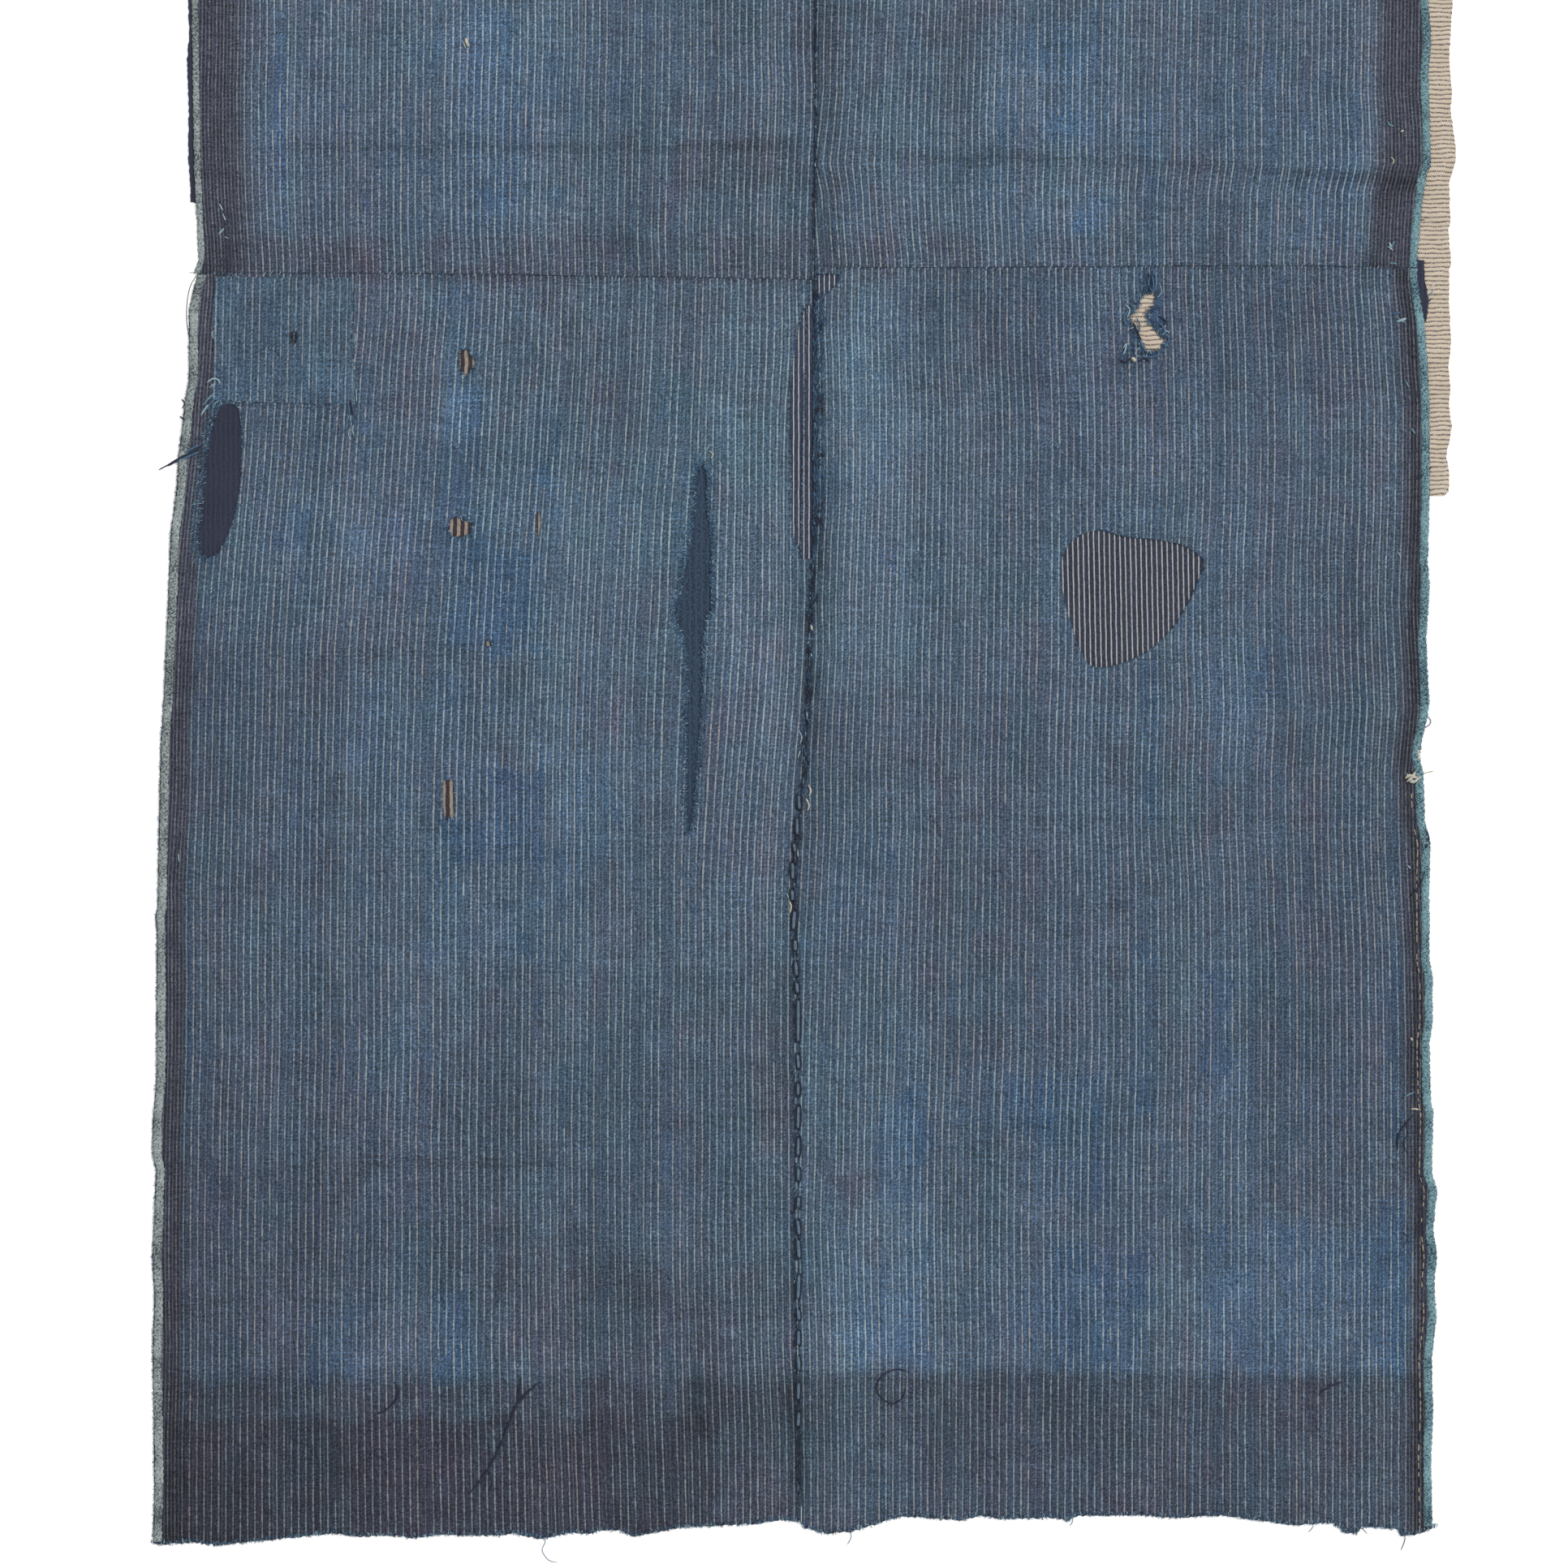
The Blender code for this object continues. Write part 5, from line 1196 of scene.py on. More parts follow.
def ribbed_cotton(name, cream, tan, dark):
    """Undyed cotton with a cord of thick weft every few millimetres and dark gaps between the cords."""
    # Coarse, unbleached and dry: pale beads of warp over the cords, painted shade down the beads' sides, painted
    # shadows in the gaps.
    material, shader = new_material(name)
    tree = material.node_tree
    place = add(tree, "ShaderNodeUVMap", uv_map="cloth")
    place = add(tree, "ShaderNodeVectorMath", {0: place, 3: 1000.0}, operation="SCALE")
    u = add(tree, "ShaderNodeSeparateXYZ", {0: place})
    v = u.node.outputs[1]
    slow = add(tree, "ShaderNodeTexNoise", {0: place, "Scale": 0.11, "Detail": 2.0}, noise_dimensions="2D")
    fine_ = add(tree, "ShaderNodeTexNoise", {0: place, "Scale": 0.9, "Detail": 2.0}, noise_dimensions="2D")
    bent = add(tree, "ShaderNodeMath", {0: slow, 1: 2.0, 2: v}, operation="MULTIPLY_ADD")
    cord = add(tree, "ShaderNodeMath", {0: bent, 1: RIB_PITCH}, operation="DIVIDE")
    cord = add(tree, "ShaderNodeMath", {0: cord, 1: 1.0}, operation="PINGPONG")
    leaning = add(tree, "ShaderNodeMath", {0: v, 1: 0.35, 2: u}, operation="MULTIPLY_ADD")
    bead = add(tree, "ShaderNodeMath", {0: leaning, 1: RIB_WARP}, operation="DIVIDE")
    bead = add(tree, "ShaderNodeMath", {0: bead, 1: 1.0}, operation="PINGPONG")
    # Painted shadow in the gaps between the cords, deepest between the beads.
    gap_shadow = add(tree, "ShaderNodeMapRange", {0: cord, 1: 0.24, 2: 0.48, 3: 1.0, 4: 0.0})
    between_beads = add(tree, "ShaderNodeMapRange", {0: bead, 1: 0.0, 2: 0.9, 3: 1.1, 4: 0.3})
    deep = add(tree, "ShaderNodeMapRange", {0: fine_, 1: 0.35, 2: 0.6, 3: 0.6, 4: 1.3})
    gap_shadow = add(tree, "ShaderNodeMath", {0: gap_shadow, 1: between_beads}, operation=MUL)
    gap_shadow = add(tree, "ShaderNodeMath", {0: gap_shadow, 1: deep}, operation=MUL, use_clamp=True)
    # Painted shade down the sides of each bead, added to the cloth's patchy tan.
    bead_side_shade = add(tree, "ShaderNodeMapRange", {0: bead, 1: 0.1, 2: 0.7, 3: 0.75, 4: 0.0})
    worn = add(tree, "ShaderNodeMath", {0: slow, 1: 0.9}, operation=MUL)
    worn = add(tree, "ShaderNodeMath", {0: worn, 1: bead_side_shade}, operation=ADD, use_clamp=True)
    base = add(tree, "ShaderNodeMix", {0: worn, 6: linear(cream), 7: linear(tan)}, 2, data_type="RGBA")
    colour = add(tree, "ShaderNodeMix", {0: gap_shadow, 6: base, 7: linear(dark)}, 2, data_type="RGBA")
    tree.links.new(colour, shader.inputs["Base Color"])
    height = add(tree, "ShaderNodeMath", {0: cord, 1: bead}, operation=ADD)
    bump = add(tree, "ShaderNodeBump", {"Strength": 0.4, "Distance": 0.0005, "Height": height})
    tree.links.new(bump, shader.inputs["Normal"])
    return material


def thread_cotton(name, code, spread=0.35):
    """Sewing thread and frayed yarn: one colour, a little uneven along each length."""
    material, shader = new_material(name, sheen=0.12)
    tree = material.node_tree
    place = add(tree, "ShaderNodeTexCoord", out=3)
    tone = add(tree, "ShaderNodeTexNoise", {0: place, "Scale": 600.0, "Detail": 2.0})
    tone = add(tree, "ShaderNodeMath", {0: tone, 1: 0.5}, operation=SUB)
    tone = add(tree, "ShaderNodeMath", {0: tone, 1: spread * 4}, operation=MUL)
    tone = add(tree, "ShaderNodeMath", {0: tone}, operation="EXPONENT")
    colour = add(tree, "ShaderNodeVectorMath", {0: linear(code)[:3], 3: tone}, operation="SCALE")
    tree.links.new(colour, shader.inputs["Base Color"])
    return material


def binding_cotton(name, pale, dark):
    """The rolled edge: slanting pale floats over a darker ground."""
    material, shader = new_material(name)
    tree = material.node_tree
    place = add(tree, "ShaderNodeUVMap", uv_map="cloth")
    place = add(tree, "ShaderNodeVectorMath", {0: place, 3: 1000.0}, operation="SCALE")
    turned = add(tree, "ShaderNodeVectorRotate", {0: place, "Angle": math.radians(-38)}, rotation_type="Z_AXIS")
    u = add(tree, "ShaderNodeSeparateXYZ", {0: turned})
    v = u.node.outputs[1]
    grain = add(tree, "ShaderNodeTexNoise", {0: place, "Scale": 0.9, "Detail": 3.0}, noise_dimensions="2D")
    patchy = add(tree, "ShaderNodeTexNoise", {0: place, "Scale": 0.06, "Detail": 3.0}, noise_dimensions="2D")
    wave = add(tree, "ShaderNodeMath", {0: grain, 1: 4.0}, operation=MUL)
    wave = add(tree, "ShaderNodeMath", {0: v, 1: 2 * math.pi / 1.15, 2: wave}, operation="MULTIPLY_ADD")
    wave = add(tree, "ShaderNodeMath", {0: wave}, operation="SINE")
    share = add(tree, "ShaderNodeMath", {0: wave, 1: 0.5}, operation=MUL)
    share = add(tree, "ShaderNodeMath", {0: patchy, 1: 5.0, 2: share}, operation="MULTIPLY_ADD")
    share = add(tree, "ShaderNodeMath", {0: grain, 1: 7.0, 2: share}, operation="MULTIPLY_ADD")
    share = add(tree, "ShaderNodeMapRange", {0: share, 1: 4.2, 2: 7.4, 3: 0.0, 4: 1.0})
    colour = add(tree, "ShaderNodeMix", {0: share, 6: linear(dark), 7: linear(pale)}, 2, data_type="RGBA")
    tree.links.new(colour, shader.inputs["Base Color"])
    bump = add(tree, "ShaderNodeBump", {"Strength": 0.5, "Distance": 0.0003, "Height": wave})
    tree.links.new(bump, shader.inputs["Normal"])
    return material


def face_height(x, y):
    """How high the face of the cloth lies, or the floor past its edges."""
    torn = between([(px_, py_) for px_, py_ in TORN_EDGE], x)
    on_cloth = (x > between(LEFT_EDGE, y)) & (x < between(RIGHT_EDGE, y)) & (y > torn)
    return np.where(on_cloth, under_height(x, y) + CLOTH, GROUND + 0.1)


def curve(points, step):
    """A smooth line through the points, at even steps."""
    p = np.array([points[0]] + list(points) + [points[-1]], float)
    made = []
    for k in range(1, len(p) - 2):
        count = max(2, int(np.hypot(*(p[k + 1] - p[k])[:2]) / step))
        for t in np.arange(count) / count:
            made.append(0.5 * (
                2 * p[k] + (p[k + 1] - p[k - 1]) * t
                + (2 * p[k - 1] - 5 * p[k] + 4 * p[k + 1] - p[k + 2]) * t * t
                + (3 * p[k] - p[k - 1] - 3 * p[k + 1] + p[k + 2]) * t ** 3
            ))
    made.append(p[-1])
    return np.array(made)


def laid(points, step, radius, lift=0.0):
    """A strand that lies along the points on the face of the cloth."""
    flat = curve(points, step)
    high = face_height(flat[:, 0], flat[:, 1]) + radius * 0.8 + lift
    high = np.convolve(np.pad(high, 2, mode="edge"), np.ones(5) / 5, mode="valid")
    return np.column_stack([flat, high]), radius


def tubes(name, strands, material, sides=5):
    """Strands as closed tubes, thinner at both ends, joined in one mesh."""
    verts, faces, start = [], [], 0
    turn = 2 * np.pi * np.arange(sides) / sides
    for points, radius in strands:
        n = len(points)
        run = np.gradient(points, axis=0)
        run /= np.maximum(np.linalg.norm(run, axis=1, keepdims=True), 1e-9)
        aside = np.cross(run, (0, 0, 1.0))
        aside /= np.maximum(np.linalg.norm(aside, axis=1, keepdims=True), 1e-9)
        rise = np.cross(aside, run)
        thick = radius * np.interp(np.linspace(0, 1, n), (0, 0.15, 0.85, 1), (0.55, 1, 1, 0.45))
        ring = aside[:, None] * np.cos(turn)[None, :, None] + rise[:, None] * np.sin(turn)[None, :, None]
        ring = points[:, None] + ring * thick[:, None, None]
        ring[..., 2] = np.maximum(ring[..., 2], 0.01)
        verts.append(ring.reshape(-1, 3))
        for k in range(n - 1):
            a = start + k * sides
            faces += [(a + j, a + (j + 1) % sides, a + sides + (j + 1) % sides, a + sides + j) for j in range(sides)]
        faces.append(tuple(range(start, start + sides))[::-1])
        faces.append(tuple(range(start + (n - 1) * sides, start + n * sides)))
        start += n * sides
    mesh = bpy.data.meshes.new(name)
    mesh.from_pydata((np.concatenate(verts) * MM).tolist(), [], faces)
    mesh.shade_smooth()
    mesh.materials.append(material)
    made = bpy.data.objects.new(name, mesh)
    bpy.context.scene.collection.objects.link(made)
    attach(made, "root")
    return made


def rim_fuzz(outline, spacing, length, lean, reach, draw, closed=True, way=1):
    """Short frayed ends along an edge: from the cloth across its edge, all leaning one way."""
    made = []
    walk = fine(outline, spacing, 0.0, 1, closed)
    if closed:
        turns = sum(ax * by - bx * ay for (ax, ay), (bx, by) in zip(walk, walk[1:] + walk[:1]))
        way = -1 if turns > 0 else 1
    for k in range(1, len(walk) - 1):
        (ax, ay), (bx, by) = walk[k - 1], walk[k + 1]
        size = math.hypot(bx - ax, by - ay) or 1.0
        across_x, across_y = way * (by - ay) / size, -way * (bx - ax) / size
        if draw.random() < 0.12:
            continue
        long = draw.uniform(*length)
        angle = draw.gauss(0, 0.55)
        dir_x = across_x * math.cos(angle) - across_y * math.sin(angle) + lean[0]
        dir_y = across_x * math.sin(angle) + across_y * math.cos(angle) + lean[1]
        norm = math.hypot(dir_x, dir_y) or 1.0
        dir_x, dir_y = dir_x / norm * long, dir_y / norm * long
        out = draw.uniform(-reach, reach * 0.3)
        x0 = walk[k][0] - dir_x * 0.6 + across_x * out
        y0 = walk[k][1] - dir_y * 0.6 + across_y * out
        bend = draw.uniform(-0.3, 0.3)
        rows = [
            (x0 + dir_x * t - dir_y * bend * t * (1 - t) * 2, y0 + dir_y * t + dir_x * bend * t * (1 - t) * 2)
            for t in (0, 0.33, 0.67, 1)
        ]
        made.append((rows, draw.uniform(0.1, 0.22), draw.uniform(0.0, 0.35)))
    return made


def settle(rows_list, drop=0.0):
    """Frayed ends given their heights: on the face, and drooping past the edge by drop."""
    flat = np.array([row for rows, _, _ in rows_list for row in rows])
    high = face_height(flat[:, 0], flat[:, 1]).reshape(-1, 4)
    made = []
    for (rows, radius, lift), z in zip(rows_list, high):
        z = max(z[0], z[1], 0.4)
        heights = [z + 0.02, z + lift + 0.12, z + lift * 0.8 + 0.08, max(z - drop, 0.12)]
        made.append((np.column_stack([np.array(rows), heights]), radius))
    return made


# The cloths' materials.
striped = striped_cotton("striped_cotton", "#4B5E72", "#435D79", "#4F5366", "#A2B2B8", "#92959B")
corner_striped = striped_cotton("corner_mend_cotton", "#465A6D", "#425D76", "#4F5366", "#8E9CA6", "#92959B")
navy = patch_cotton("navy_cotton", "#35394A", "#3F4354", 2.6, 0.2, grain=0.6)
brown = patch_cotton("brown_striped_cotton", "#443A3F", "#A59A8E", 3.8, 0.7)
indigo = patch_cotton("mid_indigo_cotton", "#364558", "#3E5065", 3.1, 0.3, grain=1.5)
pinstripe = patch_cotton("pinstriped_cotton", "#3A404F", "#C4C3C4", 2.71, 0.12, edge=0.36, bend=0.4, grain=1.3)
lens = patch_cotton("seam_patch_cotton", "#3D455A", "#D4D4D2", 2.65, 0.1, edge=0.26, bend=0.5, grain=1.2)
undyed = ribbed_cotton("undyed_cotton", "#FFF1DF", "#DAC8B2", "#38343E")
left_binding = binding_cotton("left_edge_cotton", "#B9C4C2", "#3C4650")
right_binding = binding_cotton("right_edge_cotton", "#93BCC4", "#2C4052")

# The four panels.
upper_left = panel(
    "upper_left_cloth", "upper_left_panel", "left", "upper", [], UPPER_LEFT_GRAIN, UPPER_LEFT_MARKS, striped
)
upper_right = panel(
    "upper_right_cloth", "upper_right_panel", "right", "upper", [], UPPER_RIGHT_GRAIN, UPPER_RIGHT_MARKS, striped
)
oval = fine(rounded(OVAL_HOLE), 0.7, 0.3, 81)
shield = fine(rounded(SHIELD_HOLE), 0.7, 0.35, 82)
torn = fine(TORN_HOLE, 0.7, 0.3, 83)
corner = fine(CORNER_HOLE, 0.7, 0.25, 84)
slit = fine(SLIT, 0.7, 0.25, 85)
gap = fine(SEAM_GAP, 0.8, 0.25, 86)
small = [
    fine(hole, 0.6, 0.3, 87 + k)
    for k, hole in enumerate((UPPER_SMALL_HOLE, MIDDLE_SMALL_HOLE, NARROW_HOLE, LOWER_SMALL_HOLE, PIN_HOLE))
]
lower_left = panel(
    "lower_left_cloth", "lower_left_panel", "left", "lower", [oval, slit, gap] + small,
    LOWER_LEFT_GRAIN, LOWER_MARKS, striped,
)
lower_right = panel(
    "lower_right_cloth", "lower_right_panel", "right", "lower", [shield, torn, corner],
    LOWER_RIGHT_GRAIN, LOWER_MARKS, striped,
)

# The mending cloths under the holes, then the ones on the face.
oval_cloth = mend_cloth(
    "oval_patch_cloth", "oval_patch", box_outline(OVAL_PATCH, 0.3, 91), [], on_ground, 0, 1.8, navy
)
brown_cloth = mend_cloth(
    "brown_stripe_cloth", "brown_stripe_backing",
    box_outline(BROWN_STRIPE_BACKING, 0.3, 92), [], on_ground, 0, 3, brown,
)
slit_cloth = mend_cloth(
    "slit_patch_cloth", "slit_patch", box_outline(SLIT_PATCH, 0.3, 93), [], on_ground, 0, 1.8,
    indigo,
)
seam_cloth = mend_cloth(
    "seam_patch_cloth", "seam_patch", box_outline(SEAM_PATCH, 0.3, 94), [], on_ground,
    0, 1.8, lens,
)
shield_cloth = mend_cloth(
    "shield_patch_cloth", "shield_patch", box_outline(SHIELD_PATCH, 0.3, 95), [], on_ground,
    0.02, 1.8, pinstripe,
)
left, right, bottom, top = BEIGE_BACKING
beige_cloth = mend_cloth(
    "beige_cloth", "beige_backing",
    fine([(left, bottom)] + BEIGE_EDGE + [(left, top)], 1.2, 0.25, 96), [], on_ground, 0, 2.4, undyed,
)
left, right, bottom, top = EDGE_BACKING
strip_cloth = mend_cloth(
    "edge_strip_cloth", "edge_backing",
    fine([(right, top)] + EDGE_STRIP_EDGE[::-1] + [(right, bottom)], 1.2, 0.3, 97), [], on_ground, 0, 2, navy,
)
sliver_cloth = mend_cloth(
    "edge_sliver_cloth", "edge_sliver", fine(SLIVER, 0.8, 0.2, 98), [],
    lambda x, y: GROUND + OVER_MEND + 0.3 + 0.1 * ripple(x, y, 5, 74), 0, 1.2, navy,
)
mend_cloth_piece = mend_cloth(
    "corner_mend_cloth", "corner_mend", fine(CORNER_MEND, 1.2, 0.3, 99),
    [fine(CORNER_MEND_HOLE, 0.5, 0.15, 100)], on_panel, -0.02, 1.8, corner_striped,
    lambda x, y: {
        "shade": 0.05 + 0.14 * ripple(x, y, 12, 61),
        "hue": 0.3 + 0.5 * ripple(x, y, 16, 62),
        "border": np.zeros(len(x)),
        "tint": 0.6 * ripple(x, y, 5, 65, 2.4) + 0.6 * ripple(x, y, 14, 66, 2.5),
    },
)


def edge_binding(name, rows, inset, half_width, high, low, top, seed, material):
    """The rolled edge along one side: a half-round strip on the panel's margin."""
    heights = np.arange(low, top, 0.8)
    draw = np.random.default_rng(seed)
    middle = between(rows, heights) + inset + 0.18 * ripple(heights, heights * 0 + seed, 4, seed)
    turn_ = 2 * math.pi * heights / 3.3 + 1.2 * ripple(heights, heights * 0 + seed, 20, seed + 2)
    half = half_width * (1 + 0.12 * ripple(heights, heights * 0 + seed + 9, 5, seed + 1) + 0.1 * np.sin(turn_))
    verts, faces, flat = [], [], []
    turns = [math.pi * k / 6 for k in range(7)]
    base = under_height(middle, heights) + CLOTH + 0.05
    rise = high * (1 + 0.3 * np.sin(turn_) + 0.1 * draw.uniform(-1, 1, len(heights)))
    for k, y in enumerate(heights):
        for turn in turns:
            verts.append((middle[k] - half[k] * math.cos(turn), y, base[k] + rise[k] * math.sin(turn)))
            flat.append((turn * half_width * 0.9, y))
        verts.append((middle[k], y, base[k] - 0.04))
        flat.append((0, y))
    ring = len(turns) + 1
    for k in range(len(heights) - 1):
        for j in range(ring):
            a, b = k * ring + j, k * ring + (j + 1) % ring
            faces.append((a, b, b + ring, a + ring))
    faces.append(tuple(range(ring))[::-1])
    faces.append(tuple((len(heights) - 1) * ring + j for j in range(ring)))
    mesh = bpy.data.meshes.new(name)
    mesh.from_pydata([(x * MM, y * MM, z * MM) for x, y, z in verts], [], faces)
    layer = mesh.uv_layers.new(name="cloth")
    for loop in mesh.loops:
        across_, along = flat[loop.vertex_index]
        layer.data[loop.index].uv = (across_ * MM, along * MM)
    mesh.shade_smooth()
    mesh.materials.append(material)
    made = bpy.data.objects.new(name, mesh)
    bpy.context.scene.collection.objects.link(made)
    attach(made, "root")
    return made


left_upper_edge = edge_binding("upper_left_binding", LEFT_EDGE, -0.6, 1.7, 0.7, 233, 424.5, 5, left_binding)
left_lower_edge = edge_binding("lower_left_binding", LEFT_EDGE, 2.6, 2.2, 0.8, -423, 233, 6, left_binding)
right_upper_edge = edge_binding("upper_right_binding", RIGHT_EDGE, -1.8, 2.1, 0.7, 236, 424.5, 7, right_binding)
right_lower_edge = edge_binding("lower_right_binding", RIGHT_EDGE, -1.8, 2.2, 0.8, -415, 236, 8, right_binding)

yarns = {
    "navy": thread_cotton("navy_thread", "#2A3042"),
    "blue": thread_cotton("blue_thread", "#4E6F8E"),
    "tan": thread_cotton("tan_thread", "#A99C88"),
    "worn": thread_cotton("worn_blue_thread", "#64788A"),
    "deep": thread_cotton("deep_blue_thread", "#3A5470"),
    "teal": thread_cotton("teal_thread", "#6C8FA3"),
    "pale": thread_cotton("pale_thread", "#A3BCC6"),
    "beige": thread_cotton("beige_thread", "#CFC8B8"),
}
strands = {colour: [] for colour in yarns}
for points, radius, colour in LOOSE_THREADS:
    strands[colour].append(laid(points, 1.2, radius, 0.15))

# The turned-in margins that show as a dark line wherever a seam gapes: navy yarn sunk in the seams, partly their own
# dark colour and partly painted shade in the gap.
for half, start, end in (("left", -318, 5), ("right", 5, 320)):
    line = [(x, float(seam_height(x, half))) for x in np.arange(start, end, 3.0)]
    strands["navy"].append(laid(line, 3.0, 0.3, -0.42))
line = [(float(between(MIDDLE_SEAM, y)), y) for y in np.arange(-405, 424, 4.0)]
strands["navy"].append(laid(line, 4.0, 0.34, -0.45))

# Frayed rims of the holes: dense woolly ends, some pale, some blue, some dark.
draw = random.Random(7)
RIMS = [
    (SLIT, 0.22, (1.0, 2.4), (0.4, 0.5), 2.6),
    (rounded(SLIT, 1), 0.6, (0.8, 1.6), (0.0, 0.0), 0.5),
    (rounded(OVAL_HOLE), 0.6, (0.8, 1.8), (0.0, 0.2), 0.6),
    (rounded(SHIELD_HOLE), 0.8, (0.5, 1.2), (0.0, 0.1), 0.3),
    (TORN_HOLE, 0.22, (1.6, 4.2), (0.0, -0.2), 2.4),
    (SEAM_GAP[:12], 0.5, (0.8, 2.0), (0.2, 0.2), 0.3),
    (UPPER_SMALL_HOLE, 0.4, (1.0, 2.4), (0.0, 0.0), 0.8),
    (MIDDLE_SMALL_HOLE, 0.4, (1.0, 2.4), (0.0, 0.0), 0.8),
    (NARROW_HOLE, 0.5, (0.6, 1.4), (0.0, 0.0), 0.4),
    (LOWER_SMALL_HOLE, 0.5, (0.8, 2.0), (0.0, 0.3), 0.6),
    (PIN_HOLE, 0.5, (0.6, 1.2), (0.0, 0.0), 0.4),
    (CORNER_HOLE, 0.5, (0.6, 1.6), (0.0, 0.0), 0.4),
]
for outline, spacing, length, lean, reach in RIMS:
    ends = rim_fuzz(outline, spacing, length, lean, reach, draw)
    if outline is SLIT:
        ends += rim_fuzz(OVAL_HOLE[9:] + OVAL_HOLE[:2], 0.22, (1.2, 3.0), (0.5, 0.7), 4.0, draw, closed=False)
    for end, strand in zip(ends, settle(ends, 0.35)):
        pick = draw.choices(("navy", "deep", "blue", "teal", "pale"), (0.14, 0.3, 0.34, 0.16, 0.06))[0]
        strands[pick].append(strand)

# Frayed outer edges: the torn bottom most, the two sides a little.
left_line = [(x - 0.3, y) for y, x in LEFT_EDGE]
right_line = [(x + 0.3, y) for y, x in RIGHT_EDGE]
EDGES = [
    (TORN_EDGE, 0.3, (0.8, 3.0), (0.0, -0.2), 1.2, 1, (0.3, 0.4, 0.2, 0.1)),
    (left_line, 0.6, (0.6, 2.0), (-0.2, 0.0), 0.6, 1, (0.6, 0.2, 0.1, 0.1)),
    (right_line, 0.6, (0.6, 2.0), (0.2, 0.0), 0.6, -1, (0.5, 0.3, 0.15, 0.05)),
]
for line, spacing, length, lean, reach, way, mix in EDGES:
    ends = rim_fuzz(line, spacing, length, lean, reach, draw, closed=False, way=way)
    for end, strand in zip(ends, settle(ends, 0.5)):
        strands[draw.choices(("navy", "blue", "teal", "pale"), mix)[0]].append(strand)


def stitch(x0, y0, x1, y1, radius, sunk=0.25):
    """One stitch: a short thread that rises from the cloth and goes back in."""
    places = [(x0 + (x1 - x0) * t, y0 + (y1 - y0) * t) for t in (0, 0.2, 0.5, 0.8, 1)]
    x, y = np.array(places).T
    high = face_height(x, y) + np.array([-sunk, radius * 0.5, radius * 1.1, radius * 0.5, -sunk])
    return np.column_stack([x, y, high]), radius


# Whip stitches along the seams across, small and pale, with dark ones between them.
for half, start, end in (("left", -309, 1), ("right", 9, 314)):
    x = start
    while x < end:
        y = float(seam_height(x, half)) + draw.uniform(-0.3, 0.3)
        tall = draw.uniform(0.8, 1.6)
        lean = draw.uniform(0.4, 1.3)
        colour = draw.choices(("pale", "teal", "navy", "blue"), (0.12, 0.3, 0.18, 0.4))[0]
        strands[colour].append(stitch(x - lean * 0.5, y - tall, x + lean * 0.5, y + tall * 0.6, 0.2))
        if draw.random() < 0.4:
            strands["navy"].append(stitch(x + 0.8, y - 0.2, x + 2.4, y + draw.uniform(-0.4, 0.4), 0.18))
        x += draw.uniform(3.4, 4.9)

# Down the middle seam the cloth bulges between the stitches, with a dark thread on both sides.
for top_y, low_y in SEAM_STITCHES:
    x = float(between(MIDDLE_SEAM, (top_y + low_y) / 2)) - 0.3
    middle_y = (top_y + low_y) / 2
    lean = draw.uniform(-0.4, 0.4)
    strands["worn"].append(laid([(x - lean, low_y), (x, middle_y), (x + lean, top_y)], 0.8, 1.05, -0.25))
    for off in (-1.5, 1.4):
        strands["navy"].append(
            laid([(x + off * 0.6 - lean, low_y - 1.2), (x + off, middle_y), (x + off * 0.6 + lean, top_y + 1.2)], 0.8,
                 draw.uniform(0.35, 0.55), 0.05)
        )
y = -30
while y < 80:
    x = float(between(MIDDLE_SEAM, y)) + draw.uniform(-0.8, 0.4)
    long = draw.uniform(1.5, 5.0)
    strands[draw.choice(("navy", "navy", "blue"))].append(
        stitch(x, y, x + draw.uniform(-0.6, 0.8), y + long, draw.uniform(0.2, 0.36))
    )
    y += long + draw.uniform(1.0, 7.0)

# The worn edge beside the seam's long opening: thick blue and dark ends that lie along it.
for _ in range(360):
    y = draw.uniform(88, 224)
    x = float(between(MIDDLE_SEAM, y)) + 5.4 * draw.random() ** 1.4
    long = draw.uniform(1.4, 4.4)
    strands[draw.choices(("navy", "deep", "blue", "teal"), (0.24, 0.6, 0.13, 0.03))[0]].append(
        laid([(x, y), (x + draw.uniform(-0.8, 0.8), y - long * 0.5), (x + draw.uniform(-1, 1), y - long)], 0.9,
             draw.uniform(0.14, 0.38), -0.05)
    )
for x, y, size in FRAYED_SPOTS:
    for _ in range(int(7 * size)):
        x0, y0 = x + draw.gauss(0, 0.8 * size), y + draw.gauss(0, 1.1 * size)
        strands["navy"].append(
            laid([(x0, y0), (x0 + draw.uniform(-1, 1), y0 - 0.9), (x0 + draw.uniform(-1, 1), y0 - 2)], 0.7,
                 draw.uniform(0.3, 0.5), 0.15)
        )
# Dark strands down the middle seam's groove, partly frayed yarn and partly painted groove shade: dark and uneven
# below the opening, and elsewhere thin.
for low, high, count, spread in ((-140, 86, 260, 0.8), (236, 424, 90, 0.35), (-400, -140, 120, 0.5)):
    for _ in range(count):
        y = draw.uniform(low, high)
        x = float(between(MIDDLE_SEAM, y)) + float(between(GROOVE_AT, y)) + draw.gauss(0.0, spread)
        long = draw.uniform(1.0, 4.6)
        strands[draw.choices(("navy", "deep", "blue", "teal", "pale"), (0.55, 0.3, 0.07, 0.05, 0.03))[0]].append(
            laid([(x, y), (x + draw.uniform(-0.6, 0.6), y - long * 0.5), (x + draw.uniform(-0.8, 0.8), y - long)],
                 0.9, draw.uniform(0.16, 0.42), 0.02)
        )

# A tan selvage thread that comes up in dashes beside the right edge.
y = -36.0
while y > -416:
    long = draw.uniform(2.0, 4.6)
    x = float(between(RIGHT_EDGE, y)) - 6.2
    if draw.random() < 0.86:
        x1 = float(between(RIGHT_EDGE, y - long)) - 6.2
        strands["tan"].append(stitch(x, y, x1, y - long, draw.uniform(0.28, 0.44)))
    y -= long + draw.uniform(0.5, 1.8)

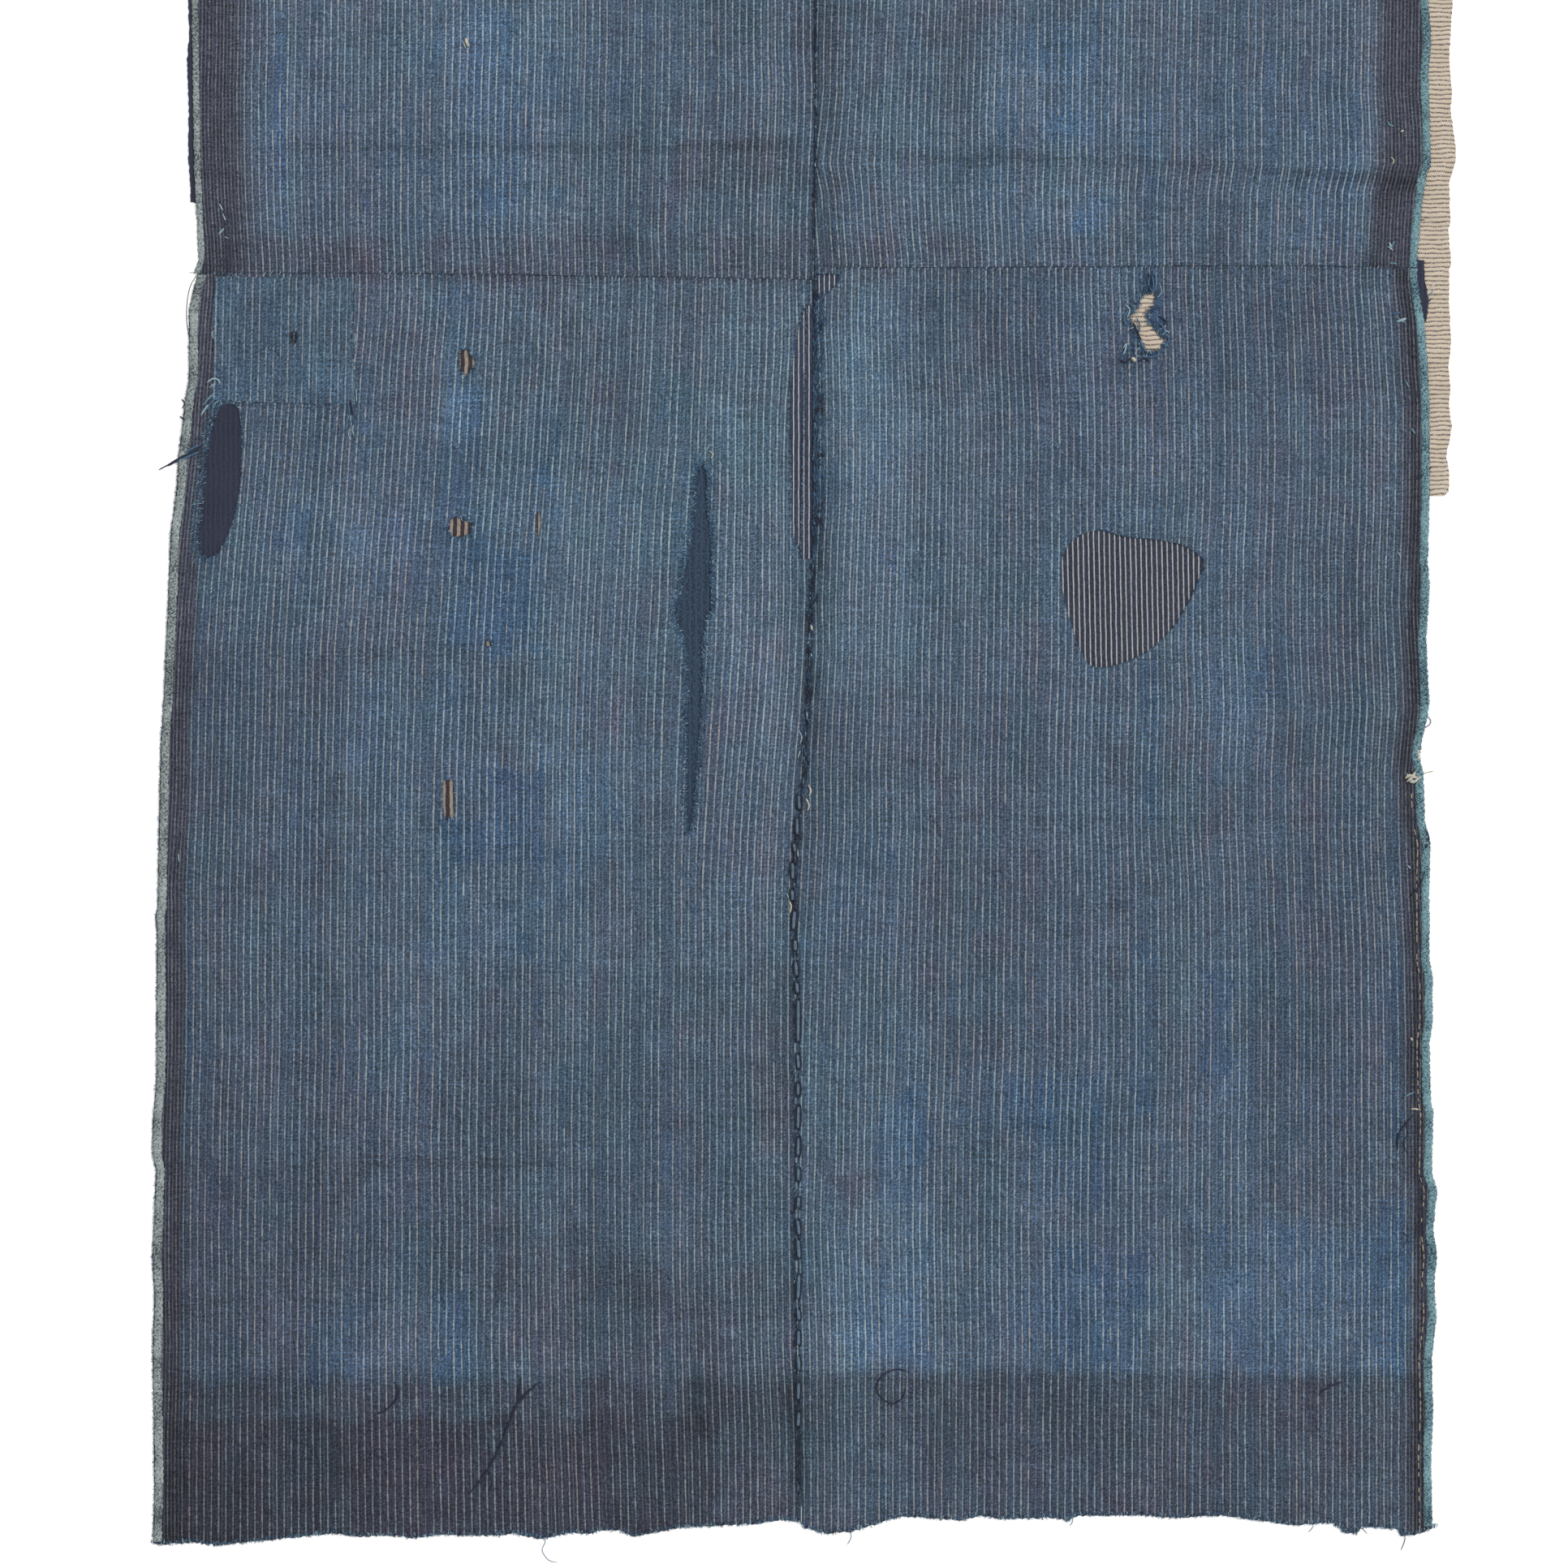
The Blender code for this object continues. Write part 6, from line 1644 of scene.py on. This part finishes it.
# Old running stitches.
for line, pitch, share in STITCH_LINES:
    (x0, y0), (x1, y1) = line
    y = y0
    while y > y1:
        long = pitch * draw.uniform(0.35, 0.6)
        if draw.random() < share:
            x = x0 + (x1 - x0) * (y0 - y) / (y0 - y1) + draw.uniform(-0.4, 0.4)
            strands[draw.choice(("navy", "blue"))].append(stitch(x, y, x + draw.uniform(-0.3, 0.3), y - long, 0.17))
        y -= pitch * draw.uniform(0.85, 1.15)

# The corner mend's stitches round its edge, and the frayed strands down its right side.
for x, y in fine(CORNER_MEND[2:10], 2.4, 0.0, 1, closed=False):
    colour = draw.choice(("pale", "teal", "navy", "blue"))
    tilt = draw.uniform(-0.6, 0.8)
    strands[colour].append(stitch(x - 0.9, y + tilt, x + 0.9, y - tilt, draw.uniform(0.18, 0.32)))
    if draw.random() < 0.5:
        strands[draw.choice(("teal", "blue"))].append(
            laid([(x - 1, y + 1.2), (x + draw.uniform(-1, 1), y + 3.4), (x + 1.2, y + 1.0)], 0.8, 0.22, 0.1)
        )
for _ in range(130):
    x, y = -302.5 + draw.gauss(0, 0.9), draw.uniform(166, 228)
    long = draw.uniform(1.2, 3.4)
    strands[draw.choice(("teal", "blue", "deep", "pale"))].append(
        laid([(x, y), (x + draw.uniform(-0.6, 0.6), y - long * 0.5), (x + draw.uniform(-0.5, 0.5), y - long)], 0.9,
             draw.uniform(0.12, 0.26), 0.0)
    )
# Worn strands at its right side and over its lower edge.
for _ in range(150):
    x, y = -236 + draw.gauss(0, 2.2), draw.uniform(152, 228)
    long = draw.uniform(2, 7)
    strands[draw.choices(("pale", "teal", "blue", "deep"), (0.16, 0.34, 0.3, 0.2))[0]].append(
        laid([(x, y), (x + draw.uniform(-0.5, 0.5), y - long * 0.5), (x + draw.uniform(-0.6, 0.6), y - long)], 0.9,
             draw.uniform(0.14, 0.3), 0.0)
    )
for _ in range(230):
    x, y = draw.uniform(-302, -236), 169 + draw.gauss(0, 3.4)
    long = draw.uniform(1, 3)
    strands[draw.choices(("pale", "teal", "blue", "deep"), (0.08, 0.36, 0.36, 0.2))[0]].append(
        laid([(x, y), (x + long * 0.5, y + draw.uniform(-0.6, 0.9)), (x + long, y + draw.uniform(-0.8, 0.8))], 0.9,
             draw.uniform(0.14, 0.3), 0.0)
    )
y = 226
while y > 192:
    x = -302.5 + draw.uniform(-0.8, 0.8)
    strands[draw.choice(("pale", "teal"))].append(
        laid([(x - 0.8, y), (x + 0.8, y - 0.9), (x - 0.5, y - 2.2)], 0.7, draw.uniform(0.2, 0.34), 0.1)
    )
    y -= draw.uniform(2.6, 4.6)
for k in range(46):
    y = draw.uniform(170, 182)
    x = -233.7 + draw.uniform(-6, 1.5)
    colour = draw.choice(("pale", "teal", "blue", "navy"))
    strands[colour].append(laid([(x, y + 1.8), (x + draw.uniform(-0.6, 0.6), y), (x + 0.3, y - 2)], 0.8, 0.16, 0.25))

thread_pieces = {
    colour: tubes(colour + "_threads", group, yarns[colour]) for colour, group in strands.items() if group
}

# The floor, the lights and the camera.
floor_mesh = bpy.data.meshes.new("floor")
floor_mesh.from_pydata([(-3, -3, 0), (3, -3, 0), (3, 3, 0), (-3, 3, 0)], [], [(0, 1, 2, 3)])
floor = bpy.data.objects.new("floor", floor_mesh)
bpy.context.scene.collection.objects.link(floor)
# White studio paper: matt, and lit well enough to stay white under the cloth's edge.
paper, paper_shader = new_material("white_paper", sheen=0.0)
paper_shader.inputs["Base Color"].default_value = linear("#F6F6F6")
paper_shader.inputs["Emission Color"].default_value = linear("#FFFFFF")
paper_shader.inputs["Emission Strength"].default_value = 0.4
floor_mesh.materials.append(paper)

scene = bpy.context.scene
scene.view_settings.view_transform = "Standard"
world = bpy.data.worlds.new("studio")
world.use_nodes = True
world.node_tree.nodes["Background"].inputs["Color"].default_value = (1, 1, 1, 1)
world.node_tree.nodes["Background"].inputs["Strength"].default_value = 0.5
scene.world = world
key = bpy.data.lights.new("key_light", "SUN")
key.energy = 1.4
key.angle = math.radians(16)
key_light = bpy.data.objects.new("key_light", key)
key_light.rotation_euler = Vector((0.75, 0.45, 1.0)).to_track_quat("Z", "Y").to_euler()
scene.collection.objects.link(key_light)

# Straight above the cloth, as far off as a long lens needs to hold it.
lens_data = bpy.data.cameras.new("camera")
lens_data.lens = 85
lens_data.sensor_width = 36
camera = bpy.data.objects.new("camera", lens_data)
camera.location = (-0.01029, -0.03108, 1.916)
scene.collection.objects.link(camera)
scene.camera = camera
